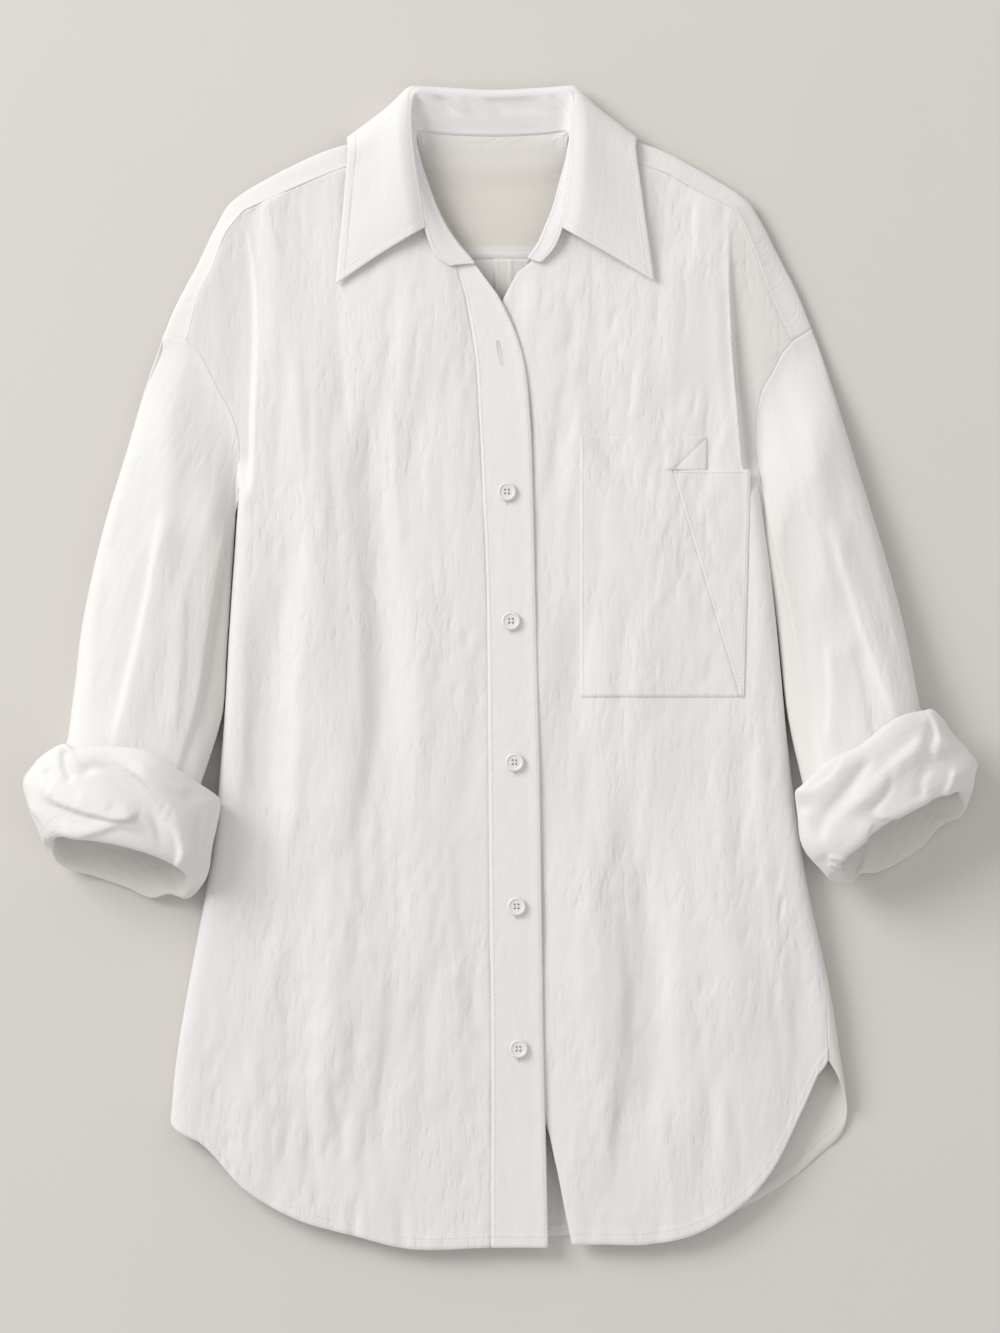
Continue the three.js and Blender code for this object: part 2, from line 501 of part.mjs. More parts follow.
// The leaf hangs on the stand's upper edge: it bends over and out to its own edge.
const LEAF = [
  { root: [-52.8, 297.6, 22.6], crest: [-58, 294.2, 23.6], mid: [-82, 279.6, 20.8], rim: [-111, 260, 18.6] },
  { root: [-54.8, 312, 23.6], crest: [-60, 310.6, 24.8], mid: [-84, 300, 21.2], rim: [-109, 283, 17.4] },
  { root: [-58.2, 334, 24.4], crest: [-63.4, 333.6, 25.4], mid: [-84, 324, 20.6], rim: [-106.6, 308, 16.8] },
  { root: [-60.8, 354, 24], crest: [-65.4, 354.8, 24.6], mid: [-84, 346, 19.8], rim: [-104.4, 333, 16.4] },
  { root: [-61.6, 371, 21.6], crest: [-65, 373, 21.6], mid: [-84, 362, 18], rim: [-103, 352, 15.4] },
  { root: [-61, 382, 19.4], crest: [-64, 386, 17.6], mid: [-84, 373.6, 12], rim: [-103.4, 359.4, 9] },
  { root: [-58.6, 390.4, 17.6], crest: [-61.8, 393.4, 11.4], mid: [-79, 374, 2.6], rim: [-97.4, 357.4, 1.8] },
  { root: [-52, 391.2, 16], crest: [-53.6, 393.6, 8.4], mid: [-62, 371], rim: [-78, 346.6] },
  { root: [-40, 391.2, 15], crest: [-40.6, 393, 7], mid: [-43, 370], rim: [-50, 344.6] },
  { root: [-6, 389.8, 14.2], crest: [-6, 391.4, 6.6], mid: [-6, 368], rim: [-6, 343.8] },
  { root: [30, 391.2, 15], crest: [30.6, 393, 7], mid: [33, 370], rim: [40, 344.6] },
  { root: [41.4, 391.4, 16], crest: [43, 393.8, 8.4], mid: [51, 371], rim: [67, 346.6] },
  { root: [47.6, 391, 17.6], crest: [50.8, 393.6, 11.4], mid: [67.4, 374, 2.6], rim: [86, 357.4, 1.8] },
  { root: [50, 382, 19.4], crest: [53, 386, 17.6], mid: [72.6, 373.6, 12], rim: [91.6, 359.4, 9] },
  { root: [50.4, 371, 21.6], crest: [54, 373, 21.6], mid: [72.6, 362, 18], rim: [91.4, 352, 15.4] },
  { root: [50, 354, 24], crest: [54.6, 354.8, 24.6], mid: [73.6, 346, 19.8], rim: [94, 333, 16.4] },
  { root: [48.6, 333.6, 24.2], crest: [53.8, 333.4, 25.2], mid: [74.6, 324, 20.6], rim: [97.4, 308, 16.8] },
  { root: [46.2, 312, 23.4], crest: [51.4, 310.6, 24.6], mid: [75.6, 300, 21.2], rim: [101, 284, 17.4] },
  { root: [43.8, 297.4, 22], crest: [49, 293.8, 23.2], mid: [74, 279.8, 20.8], rim: [104, 261.8, 18.6] },
];

function makeCollar() {
  const stand = loft(STAND, ["neck", "mid", "top"]);
  const leaf = loft(LEAF, ["root", "crest", "mid", "rim"]);
  add("collar_stand", wall((u, v) => stand(v, 1 - u), spread(3), spread(30)), MATERIALS.band);
  add("collar_leaf", wall((u, v) => leaf(v, 1 - u), spread(7), spread(28)), MATERIALS.band);
}

// ---- sleeves ---------------------------------------------------------------------
// Outer and inner edges from the armhole to the rolled cuff, and the height between.
const SLEEVES = {
  right: {
    outer: [[-228.8, 224.6], [-241, 189], [-253, 148], [-265.5, 107], [-276, 66], [-284, 25], [-288, -10]],
    inner: [[-179.2, 118.4], [-184.5, 80], [-188.5, 40], [-191.5, 5], [-194, -30]],
    armhole: ARMHOLE_RIGHT,
  },
  left: {
    outer: [[211.4, 229], [225, 189], [238, 148], [251, 107], [263.5, 66], [274, 25], [280.5, -8]],
    inner: [[178.2, 118.4], [184, 80], [190, 40], [195.5, 5], [200.5, -30]],
    armhole: ARMHOLE_LEFT,
  },
};
const SLEEVE_FOLDS = {
  right: [
    { x0: -221, y0: 185, x1: -228, y1: 60, wide: 8, lift: 3.5 },
    { x0: -240, y0: 40, x1: -259, y1: -51, wide: 7, lift: 5 },
    { x0: -270, y0: 60, x1: -277, y1: -40, wide: 6, lift: 2.5 },
    { x0: -205, y0: 120, x1: -208, y1: -30, wide: 8, lift: -4 },
  ],
  left: [
    { x0: 212, y0: 150, x1: 228, y1: 30, wide: 9, lift: 4 },
    { x0: 236, y0: 57, x1: 266, y1: -30, wide: 7, lift: 4.5 },
    { x0: 190, y0: 130, x1: 202, y1: -30, wide: 8, lift: -4 },
  ],
};

// A thick roll of the turned-up sleeve round a tilted oval mouth. wide and tall are the
// roll's half width and height, deep its half width along the arm, and lean how far its
// top is moved up the arm. turn is the mouth's angle on the surface, in degrees.
const CUFFS = {
  right: {
    middle: [-256, -104, 31], wide: 55, tall: 26, lean: 16, deep: 31, turn: -12,
    lobes: [{ at: 0.9, lift: 2 }, { at: 2.4, lift: 3 }, { at: 3.6, lift: 2 }],
  },
  left: {
    middle: [260, -88, 31], wide: 54, tall: 26, lean: 14, deep: 28, turn: 30,
    lobes: [{ at: 0.6, lift: 3 }, { at: 2.1, lift: 2 }, { at: 5.6, lift: 2 }],
  },
};
// The roll's half thickness above and below, how square its section is, and how far
// round the mouth a lobe reaches.
const ROLL = { top: 8.5, bottom: 6, square: 0.7, lobeWide: 0.35, lobeThick: 0.5 };
const SLEEVE_END = { half: 45.8, past: 0.3 }; // the sleeve's half width inside the roll

// How far the sleeve starts from the armhole's line, up at the shoulder and down at the underarm.
const SLEEVE_GAP = { shoulder: 1, underarm: 1.8 };

// The sleeve's section, from the armhole to the roll. edge is the height of its outer
// fold at the armhole, armRise how far the top stands over it, underarm how far the
// lower side rises there. side is the height of both folds further on, lift how far the
// top stands over them, and lean how much lower the top is towards the body.
const SLEEVE_FORM = {
  edge: 5.2, armRise: 4.4, underarm: 11.6, side: { start: 8, grow: 14 },
  lift: { start: 17, slope: 3, grow: 6.1 }, lean: 0.4,
};

function cuffAxes(side) {
  const turn = THREE.MathUtils.degToRad(CUFFS[side].turn);
  return {
    across: v3(Math.cos(turn), Math.sin(turn), 0),
    armward: v3(-Math.sin(turn), Math.cos(turn), 0),
    centre: v3(...CUFFS[side].middle),
  };
}

function makeSleeve(side) {
  const spec = SLEEVES[side];
  const sign = SIDES[side];
  const cuff = CUFFS[side];
  const { across, armward, centre } = cuffAxes(side);
  const endPoint = (share) => {
    const end = centre.clone().addScaledVector(across, share * SLEEVE_END.half * sign);
    end.addScaledVector(armward, cuff.deep + SLEEVE_END.past);
    return [end.x, end.y];
  };
  const outer = path([...spec.outer, endPoint(1)]);
  const inner = path([...spec.inner, endPoint(-1)]);
  const seamPoints = [spec.outer[0], ...[...spec.armhole].reverse().slice(0, -1), spec.inner[0]];
  const seam = path(seamPoints.map(([x, y], i) => {
    const isEnd = i === 0 || i === seamPoints.length - 1;
    const apart = isEnd ? 0 : lerp(SLEEVE_GAP.shoulder, SLEEVE_GAP.underarm, smooth(3, 5, i));
    return [x + sign * apart, y - apart];
  }));
  const plan = patch(seam, (t) => outer(1).lerp(inner(1), t), outer, inner);
  const { edge, armRise, underarm, side: fold, lift, lean: tilt } = SLEEVE_FORM;
  const toUnderarm = FLOOR + underarm - edge - armRise;
  const armTop = (w) => edge + armRise * Math.sin(Math.min(w / 0.24, 1) * Math.PI / 2)
    + toUnderarm * smooth(0.7, 1, w);
  const armLow = (w) => FLOOR + (edge - FLOOR) * (1 - smooth(0, 0.08, w)) + underarm * smooth(0.95, 1, w);
  const sideHeight = (v) => fold.start + fold.grow * v ** 4;
  const ringTop = (w, v) => {
    const round = Math.sqrt(Math.max(1 - (2 * w - 1) ** 2, 0)) ** 0.8;
    const lean = 1 - tilt * smooth(0.55, 0.95, w) * (1 - v ** 4);
    return sideHeight(v) + (lift.start + lift.slope * v + lift.grow * v ** 4) * round * lean;
  };
  const ringLow = (w, v) => FLOOR + (sideHeight(v) - FLOOR) * (1 - smooth(0, 0.07, Math.min(w, 1 - w)));
  const surface = (u, v) => {
    const angle = 2 * Math.PI * (sign > 0 ? 1 - u : u);
    const w = (1 - Math.cos(angle)) / 2;
    const above = Math.sin(angle) >= 0;
    const blend = smooth(0, 0.3, v);
    const p = plan(w, v);
    const start = above ? armTop(w) : armLow(w);
    const round = above ? ringTop(w, v) : ringLow(w, v);
    const fold = above ? liftOf(SLEEVE_FOLDS[side], p.x, p.y) * Math.sqrt(Math.sin(angle)) : 0;
    if (!above) p.addScaledVector(armward, cuff.lean * Math.sin(angle) * smooth(0.7, 1, v));
    p.z = lerp(start, round, blend) + fold * blend;
    return p;
  };
  const steps = 22;
  const around = Array.from({ length: steps }, (_, i) => i / steps);
  add(`sleeve_${side}`, wall(surface, around, spread(20), { around: true }), MATERIALS.sleeve);
}

// ---- rolled cuffs ----------------------------------------------------------------
function makeCuff(side) {
  const cuff = CUFFS[side];
  const { across, armward, centre } = cuffAxes(side);
  const up = v3(0, 0, 1);
  const steps = 34;
  const section = 12;
  const grid = [];
  for (let i = 0; i < steps; i += 1) {
    const phi = (2 * Math.PI * i) / steps;
    const outward = across.clone().multiplyScalar(Math.cos(phi) * cuff.tall)
      .addScaledVector(up, Math.sin(phi) * cuff.wide).normalize();
    const lobe = cuff.lobes.reduce((sum, one) => {
      const apart = Math.atan2(Math.sin(phi - one.at), Math.cos(phi - one.at));
      return sum + one.lift * Math.exp(-((apart / ROLL.lobeWide) ** 2));
    }, 0);
    const half = lerp(ROLL.bottom, ROLL.top, smooth(-1, 0, Math.sin(phi)));
    const base = centre.clone()
      .addScaledVector(across, Math.cos(phi) * cuff.wide)
      .addScaledVector(up, Math.sin(phi) * cuff.tall)
      .addScaledVector(armward, Math.sin(phi) * cuff.lean);
    const ring = [];
    for (let k = 0; k < section; k += 1) {
      const psi = (2 * Math.PI * (k + 0.5)) / section;
      const c = Math.cos(psi);
      const s = Math.sin(psi);
      const length = Math.sign(c) * Math.abs(c) ** ROLL.square * (cuff.deep + (c < 0 ? lobe : 0));
      const thick = Math.sign(s) * Math.abs(s) ** ROLL.square * (half + (s > 0 ? lobe * ROLL.lobeThick : 0));
      const point = base.clone().addScaledVector(armward, length).addScaledVector(outward, thick);
      point.z = Math.max(point.z, 0);
      ring.push(point);
    }
    grid.push(ring);
  }
  add(`cuff_roll_${side}`, roll(grid), MATERIALS.sleeve);
}

// A closed ring from a grid that joins round both ways.
function roll(grid) {
  const rows = grid.length;
  const cols = grid[0].length;
  const faces = [];
  for (let i = 0; i < rows; i += 1) {
    for (let j = 0; j < cols; j += 1) {
      const a = i * cols + j;
      const b = i * cols + ((j + 1) % cols);
      const c = ((i + 1) % rows) * cols + ((j + 1) % cols);
      const d = ((i + 1) % rows) * cols + j;
      faces.push(a, c, b, a, d, c);
    }
  }
  const geometry = new THREE.BufferGeometry();
  geometry.setAttribute("position",
    new THREE.Float32BufferAttribute(grid.flat().flatMap((p) => [p.x, p.y, p.z]), 3));
  geometry.setIndex(faces);
  geometry.computeVertexNormals();
  return geometry;
}

// ---- pocket ----------------------------------------------------------------------
// The main piece has a raised band with a turned corner, and a wedge is sewn on along
// a slanting seam. The wedge ends a little below the band.
const POCKET = {
  left: 54, top: 156, bottom: -19.7, band: 134, corner: 139.8,
  notch: 116, side: 171, foot: 164.7, seamFoot: 162.2, drop: 3,
};

function makePocket() {
  const lift = CLOTH + SEAM_GAP;
  const shareOf = (y) => (y - POCKET.bottom) / (POCKET.top - POCKET.bottom);
  const on = (x, y) => v3(x, y, underHeight(x, y) + lift);
  const seam = (y) => lerp(POCKET.seamFoot, POCKET.notch, (y - POCKET.bottom) / (POCKET.band - POCKET.bottom));
  const main = (u, v) => {
    const y = lerp(POCKET.bottom, POCKET.top, v);
    const side = v >= shareOf(POCKET.band) ? POCKET.corner : seam(y) - SEAM_GAP;
    return on(lerp(POCKET.left, side, u), y);
  };
  const wedgeTop = POCKET.band - POCKET.drop;
  const wedge = (u, v) => {
    const y = lerp(POCKET.bottom, wedgeTop, v);
    return on(lerp(seam(y) + SEAM_GAP, lerp(POCKET.foot, POCKET.side, v), u), y);
  };
  const rows = [...spread(10).map((t) => t * shareOf(wedgeTop)), shareOf(POCKET.band - POCKET.drop / 2)];
  add("pocket_main", wall(main, spread(7), [...rows, shareOf(POCKET.band), 1]), MATERIALS.front);
  add("pocket_side", wall(wedge, spread(3), spread(10)), MATERIALS.front);
}

// ---- buttons ---------------------------------------------------------------------
function makeButton(name, x, y, z) {
  const { radius, height } = BUTTON;
  const profile = [[0, 0], [radius * 0.86, 0], [radius, height * 0.5], [radius * 0.9, height],
    [radius * 0.62, height * 0.74], [0, height * 0.74]];
  const geometry = new THREE.LatheGeometry(profile.map(([r, h]) => new THREE.Vector2(r, h)), 20);
  geometry.rotateX(Math.PI / 2);
  geometry.translate(x, y, z);
  add(name, geometry, MATERIALS.button);
}

makeBack();
makeYoke();
makeFronts();
makePlackets();
makeCollar();
makeSleeve("right");
makeSleeve("left");
makeCuff("right");
makeCuff("left");
makePocket();
BUTTONS.forEach(({ x, y }, i) => {
  makeButton(`button_${i + 1}`, x, y, frontHeight(x, y) + BUTTON.lift - CLOTH / 2);
});

export default shirt;
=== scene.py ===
# %% [markdown]
# # A crinkled cotton shirt, laid flat
# A plain model gives every piece of the shirt its place and size. This script makes the
# cloth that is seen: thin shells with creases, pressed bands, seams, thread and buttons.
# It is read from the top, one step at a time. The first step loads the plain model.

# %% Load the frame
import math

import bpy
import numpy as np
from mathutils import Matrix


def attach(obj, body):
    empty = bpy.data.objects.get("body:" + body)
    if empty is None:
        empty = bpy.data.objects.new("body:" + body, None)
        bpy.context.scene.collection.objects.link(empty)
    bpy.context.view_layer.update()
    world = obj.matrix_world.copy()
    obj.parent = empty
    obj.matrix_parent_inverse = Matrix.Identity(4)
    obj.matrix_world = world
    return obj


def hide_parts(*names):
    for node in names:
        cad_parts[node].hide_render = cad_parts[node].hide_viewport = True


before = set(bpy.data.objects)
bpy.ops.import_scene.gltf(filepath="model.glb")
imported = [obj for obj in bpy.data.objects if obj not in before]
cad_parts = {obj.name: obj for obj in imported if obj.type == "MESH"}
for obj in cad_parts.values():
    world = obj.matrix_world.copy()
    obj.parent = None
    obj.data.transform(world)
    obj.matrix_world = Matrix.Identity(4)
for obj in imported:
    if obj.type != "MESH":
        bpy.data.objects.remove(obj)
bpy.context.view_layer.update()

print("pieces in the frame:", len(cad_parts))

# %% [markdown]
# ## Camera, floor and light
# The shirt lies on a floor and is looked at from straight above. A long lens far away
# keeps the outline nearly free of perspective. Most of the light is even and comes from
# all round. A large key light from the upper left is low enough to draw the creases, and
# a weak fill stands on the other side.

# %% The camera looks straight down
SEEN_LENGTH = 0.9064  # metres of floor from the top to the bottom of the picture
CAMERA_HEIGHT = 4.0
camera_data = bpy.data.cameras.new("camera")
camera_data.sensor_fit = "VERTICAL"
camera_data.sensor_height = 36
camera_data.lens = camera_data.sensor_height * CAMERA_HEIGHT / SEEN_LENGTH
camera = bpy.data.objects.new("camera", camera_data)
camera.location = (-0.0003, 0.0007, CAMERA_HEIGHT)
bpy.context.scene.collection.objects.link(camera)
bpy.context.scene.camera = camera
print("lens", round(camera_data.lens, 1), "mm")

# %% Soft studio light
LIGHTS = [  # name, place and size in metres, power in watts, colour
    ("key", (-3.0, 2.1, 2.5), 2.2, 128, (1.0, 0.992, 0.98)),
    ("fill", (2.6, -1.6, 3.4), 2.4, 10, (1.0, 0.98, 0.95))]
WORLD_COLOUR, WORLD_STRENGTH = (1.0, 0.99, 0.975, 1), 0.56

def area_light(name, place, size, power, colour):
    """A square light that shines on the middle of the floor."""
    data = bpy.data.lights.new(name, "AREA")
    data.shape = "SQUARE"
    data.size = size
    data.energy = power
    data.color = colour
    light = bpy.data.objects.new(name, data)
    light.location = place
    toward = -np.array(place)
    yaw = math.atan2(-toward[0], toward[1])
    tilt = math.atan2(math.hypot(toward[0], toward[1]), -toward[2])
    light.rotation_euler = (tilt, 0, yaw)
    bpy.context.scene.collection.objects.link(light)

for light_row in LIGHTS:
    area_light(*light_row)
world = bpy.data.worlds.new("studio")
world.use_nodes = True
background = world.node_tree.nodes["Background"]
background.inputs["Color"].default_value = WORLD_COLOUR
background.inputs["Strength"].default_value = WORLD_STRENGTH
bpy.context.scene.world = world
bpy.context.scene.view_settings.view_transform = "Standard"

# %% [markdown]
# ## Node groups that the cloths share
# A node group is a small machine with named inputs and outputs. The weave group draws
# the crossing threads of plain cotton, and the crinkle group draws fine lengthwise
# creases that are too small for the mesh, strong in some places and weak in others. Both
# read the cloth's own map, in metres, so the threads follow the cloth round every fold.

# %% Small helpers for node trees
def new_group(name, inputs, outputs):
    tree = bpy.data.node_groups.new(name, "ShaderNodeTree")
    for label, kind, value in inputs:
        socket = tree.interface.new_socket(name=label, in_out="INPUT", socket_type=kind)
        if value is not None:
            socket.default_value = value
    for label, kind in outputs:
        tree.interface.new_socket(name=label, in_out="OUTPUT", socket_type=kind)
    return tree, tree.nodes.new("NodeGroupInput"), tree.nodes.new("NodeGroupOutput")

def node(tree, kind, settings=None, **inputs):
    made = tree.nodes.new(kind)
    for key, value in (settings or {}).items():
        setattr(made, key, value)
    for key, value in inputs.items():
        place = int(key[1:]) if key[1:].isdigit() else key.replace("_", " ")
        socket = made.inputs[place]
        if isinstance(value, bpy.types.NodeSocket):
            tree.links.new(value, socket)
        else:
            socket.default_value = value
    return made

def maths(tree, operation, first, second=0.0):
    return node(tree, "ShaderNodeMath", {"operation": operation}, i0=first, i1=second).outputs[0]

# %% The weave group
def build_weave():
    tree, start, end = new_group("weave", [
        ("Vector", "NodeSocketVector", None), ("Thread", "NodeSocketFloat", 0.0004),
        ("Slub", "NodeSocketFloat", 0.5)],
        [("Height", "NodeSocketFloat"), ("Shade", "NodeSocketFloat")])
    split = node(tree, "ShaderNodeSeparateXYZ", i0=start.outputs["Vector"])
    turn = maths(tree, "DIVIDE", math.pi, start.outputs["Thread"])
    warp = maths(tree, "SINE", maths(tree, "MULTIPLY", split.outputs[0], turn))
    weft = maths(tree, "SINE", maths(tree, "MULTIPLY", split.outputs[1], turn))
    over = maths(tree, "MULTIPLY", warp, weft)
    along = node(tree, "ShaderNodeMapping", Vector=start.outputs["Vector"], Scale=(2600, 190, 1))
    slub = node(tree, "ShaderNodeTexNoise", Vector=along.outputs[0], Scale=1.0, Detail=2.0)
    thick = maths(tree, "MULTIPLY", slub.outputs[0], start.outputs["Slub"])
    height = maths(tree, "ADD", maths(tree, "MULTIPLY", over, 0.5), thick)
    tree.links.new(height, end.inputs["Height"])
    tree.links.new(slub.outputs[0], end.inputs["Shade"])
    return tree

# %% The crinkle group
def build_crinkle():
    tree, start, end = new_group("crinkle", [
        ("Vector", "NodeSocketVector", None), ("Across", "NodeSocketFloat", 215.0),
        ("Along", "NodeSocketFloat", 68.0)], [("Height", "NodeSocketFloat")])
    bend = node(tree, "ShaderNodeTexNoise", Vector=start.outputs["Vector"], Scale=28.0, Detail=1.0)
    moved = node(tree, "ShaderNodeVectorMath", {"operation": "MULTIPLY_ADD"},
                 i0=bend.outputs["Color"], i1=(0.005, 0.006, 0.0), i2=start.outputs["Vector"])
    scale = node(tree, "ShaderNodeCombineXYZ", X=start.outputs["Across"],
                 Y=start.outputs["Along"], Z=1.0)
    stretched = node(tree, "ShaderNodeVectorMath", {"operation": "MULTIPLY"},
                     i0=moved.outputs[0], i1=scale.outputs[0])
    creases = node(tree, "ShaderNodeTexNoise", Vector=stretched.outputs[0], Scale=1.0, Detail=1.5,
                   Roughness=0.5)
    edge = maths(tree, "ABSOLUTE", maths(tree, "SUBTRACT", creases.outputs[0], 0.5))
    soft = maths(tree, "SUBTRACT", maths(tree, "MULTIPLY", creases.outputs[0], 1.6), edge)
    cloud = node(tree, "ShaderNodeTexNoise", Vector=start.outputs["Vector"], Scale=17.0, Detail=1.0)
    patchy = node(tree, "ShaderNodeMapRange", Value=cloud.outputs[0],
                  i1=0.36, i2=0.64, i3=0.25, i4=1.0)
    tree.links.new(maths(tree, "MULTIPLY", soft, patchy.outputs[0]), end.inputs["Height"])
    return tree

WEAVE = build_weave()
CRINKLE = build_crinkle()
print("groups", WEAVE.name, CRINKLE.name)

# %% [markdown]
# ## Materials
# One function makes all the cottons, because they differ only in colour, in how much
# they are crinkled. Bump nodes are chained: the crinkle first, the weave on top of it.
# Cotton is matt with a little sheen. Where cloth lies deep or shows its inner side, in the shade of
# folds, the neck and the cuffs, that shade is painted into its colour as a warmer, darker tint.
# Each piece gives this painted shade point by point in a mesh attribute.

# %% Cotton, resin and thread
SHADE_TINT = (0.90, 0.865, 0.815, 1)  # painted shade: what a colour is multiplied by where the painted shade is full
COTTON_DARK, PLAIN_DARK = 0.965, 0.97  # the darkest shade in the cloudy tint, of the colour
THREAD_WIDE = 0.00042

def cotton(name, colour, crinkled):
    """Woven cotton. Crinkled, from 0 to 1, is how strong its fine creases are."""
    material = bpy.data.materials.new(name)
    material.use_nodes = True
    tree = material.node_tree
    shader = tree.nodes["Principled BSDF"]
    shader.inputs["Roughness"].default_value = 0.88
    shader.inputs["Sheen Weight"].default_value = 0.12
    shader.inputs["Specular IOR Level"].default_value = 0.25
    cloth_map = node(tree, "ShaderNodeUVMap", {"uv_map": "cloth"}).outputs[0]
    weave = node(tree, "ShaderNodeGroup", {"node_tree": WEAVE}, Vector=cloth_map,
                 Thread=THREAD_WIDE)
    fine = node(tree, "ShaderNodeGroup", {"node_tree": CRINKLE}, Vector=cloth_map)
    place = node(tree, "ShaderNodeTexCoord").outputs["Object"]
    cloud = node(tree, "ShaderNodeTexNoise", Vector=place, Scale=14.0, Detail=3.0)
    tint = node(tree, "ShaderNodeMath", {"operation": "MULTIPLY_ADD"},
                i0=cloud.outputs[0], i1=0.5, i2=0.5).outputs[0]
    mixed = maths(tree, "ADD", tint, maths(tree, "MULTIPLY", weave.outputs["Shade"], 0.5))
    shade = node(tree, "ShaderNodeMix", {"data_type": "RGBA"}, Factor=mixed)
    shade.inputs[6].default_value = (*[c * COTTON_DARK for c in colour], 1)
    shade.inputs[7].default_value = (*colour, 1)
    # Painted shade: a darker, warmer tint is mixed into the colour where the mesh attribute asks
    # for it.
    painted_shade = node(tree, "ShaderNodeAttribute", {"attribute_name": "painted_shade"}).outputs["Fac"]
    shaded_colour = node(tree, "ShaderNodeMix", {"data_type": "RGBA", "blend_type": "MULTIPLY"},
                  Factor=painted_shade, i6=shade.outputs[2])
    shaded_colour.inputs[7].default_value = SHADE_TINT
    tree.links.new(shaded_colour.outputs[2], shader.inputs["Base Color"])
    creased = node(tree, "ShaderNodeBump", Strength=crinkled, Distance=0.0006,
                   Height=fine.outputs["Height"])
    woven = node(tree, "ShaderNodeBump", Strength=0.35, Distance=0.00012,
                 Height=weave.outputs["Height"], Normal=creased.outputs[0])
    tree.links.new(woven.outputs[0], shader.inputs["Normal"])
    return material

def plain(name, colour, roughness, scale):
    """A smooth material with a faint grain. The scale is that of the grain."""
    material = bpy.data.materials.new(name)
    material.use_nodes = True
    tree = material.node_tree
    shader = tree.nodes["Principled BSDF"]
    place = node(tree, "ShaderNodeTexCoord").outputs["Object"]
    grain = node(tree, "ShaderNodeTexNoise", Vector=place, Scale=scale, Detail=3.0)
    shade = node(tree, "ShaderNodeMix", {"data_type": "RGBA"}, Factor=grain.outputs[0])
    shade.inputs[6].default_value = (*[c * PLAIN_DARK for c in colour], 1)
    shade.inputs[7].default_value = (*colour, 1)
    tree.links.new(shade.outputs[2], shader.inputs["Base Color"])
    rough = node(tree, "ShaderNodeMapRange", Value=grain.outputs[0],
                 i3=roughness * 0.9, i4=roughness * 1.1)
    tree.links.new(rough.outputs[0], shader.inputs["Roughness"])
    return material

FRONT = cotton("crinkled cotton", (0.825, 0.818, 0.818), 0.95)
# A darker, warmer copy of the cotton for the back: painted shade where the back lies under
# everything else.
SHADED_COTTON = cotton("cotton with painted shade", (0.80, 0.775, 0.745), 0.25)
SLEEVE = cotton("soft cotton", (0.825, 0.819, 0.812), 0.60)
BAND = cotton("pressed cotton", (0.845, 0.838, 0.836), 0.36)
RESIN = plain("button resin", (0.84, 0.835, 0.82), 0.28, 220.0)
THREAD = plain("sewing thread", (0.84, 0.836, 0.82), 0.6, 900.0)
FLOOR_PAINT = plain("pale floor", (0.71, 0.683, 0.65), 0.85, 9.0)
print("materials", len(bpy.data.materials))

# %% The floor
floor_mesh = bpy.data.meshes.new("floor")
floor_mesh.from_pydata([(-3, -3, 0), (3, -3, 0), (3, 3, 0), (-3, 3, 0)], [], [(0, 1, 2, 3)])
floor_mesh.materials.append(FLOOR_PAINT)
floor = bpy.data.objects.new("floor", floor_mesh)
bpy.context.scene.collection.objects.link(floor)

# %% [markdown]
# ## Curves and tables
# The shirt's outline is kept in short tables, in millimetres: a row for each height of
# the body, and a few points for each seam. A table column becomes a smooth function,
# and a list of points becomes a smooth path. numpy works on whole grids of points at
# once, which is why the cloth can have a point every two or three millimetres.

# %% Numbers, smooth steps and paths
MM = 0.001
CLOTH = 0.9       # thickness of the cloth that is seen
FLOOR = 0.6       # middle of a layer that lies on the floor
LAYER = 1.8       # from the middle of one lying layer to the next
SEAM = 0.12       # between two pieces that are sewn together
UNDERARM = 118    # height at which the armholes close
SIDES = {"right": -1, "left": 1}
FINE, COARSE = 20, 12  # steps to a span of a smooth curve

def smooth(low, high, x):
    t = np.clip((x - low) / (high - low), 0, 1)
    return t * t * (3 - 2 * t)

def mix(a, b, t):
    return a + (b - a) * t

def bump(x, middle, wide):
    """A soft round hill of height 1."""
    return np.exp(-((x - middle) / wide) ** 2)

def hermite(t, first, second, leaving, arriving):
    """A cubic from one value to the next, which leaves and arrives with given slopes."""
    return ((2 * t**3 - 3 * t**2 + 1) * first + (t**3 - 2 * t**2 + t) * leaving
            + (3 * t**2 - 2 * t**3) * second + (t**3 - t**2) * arriving)

def column(table, names, name):
    """A smooth function of y through one column of a table."""
    y, value = table[:, 0], table[:, names.index(name)]
    count = len(y)
    ahead = np.minimum(np.arange(count) + 1, count - 1)
    behind = np.maximum(np.arange(count) - 1, 0)
    slope = (value[ahead] - value[behind]) / (y[ahead] - y[behind])
    def at(where):
        q = np.clip(np.asarray(where, float), y[0], y[-1])
        i = np.clip(np.searchsorted(y, q, side="right") - 1, 0, count - 2)
        step = y[i + 1] - y[i]
        return hermite((q - y[i]) / step, value[i], value[i + 1], step * slope[i],
                       step * slope[i + 1])
    return at

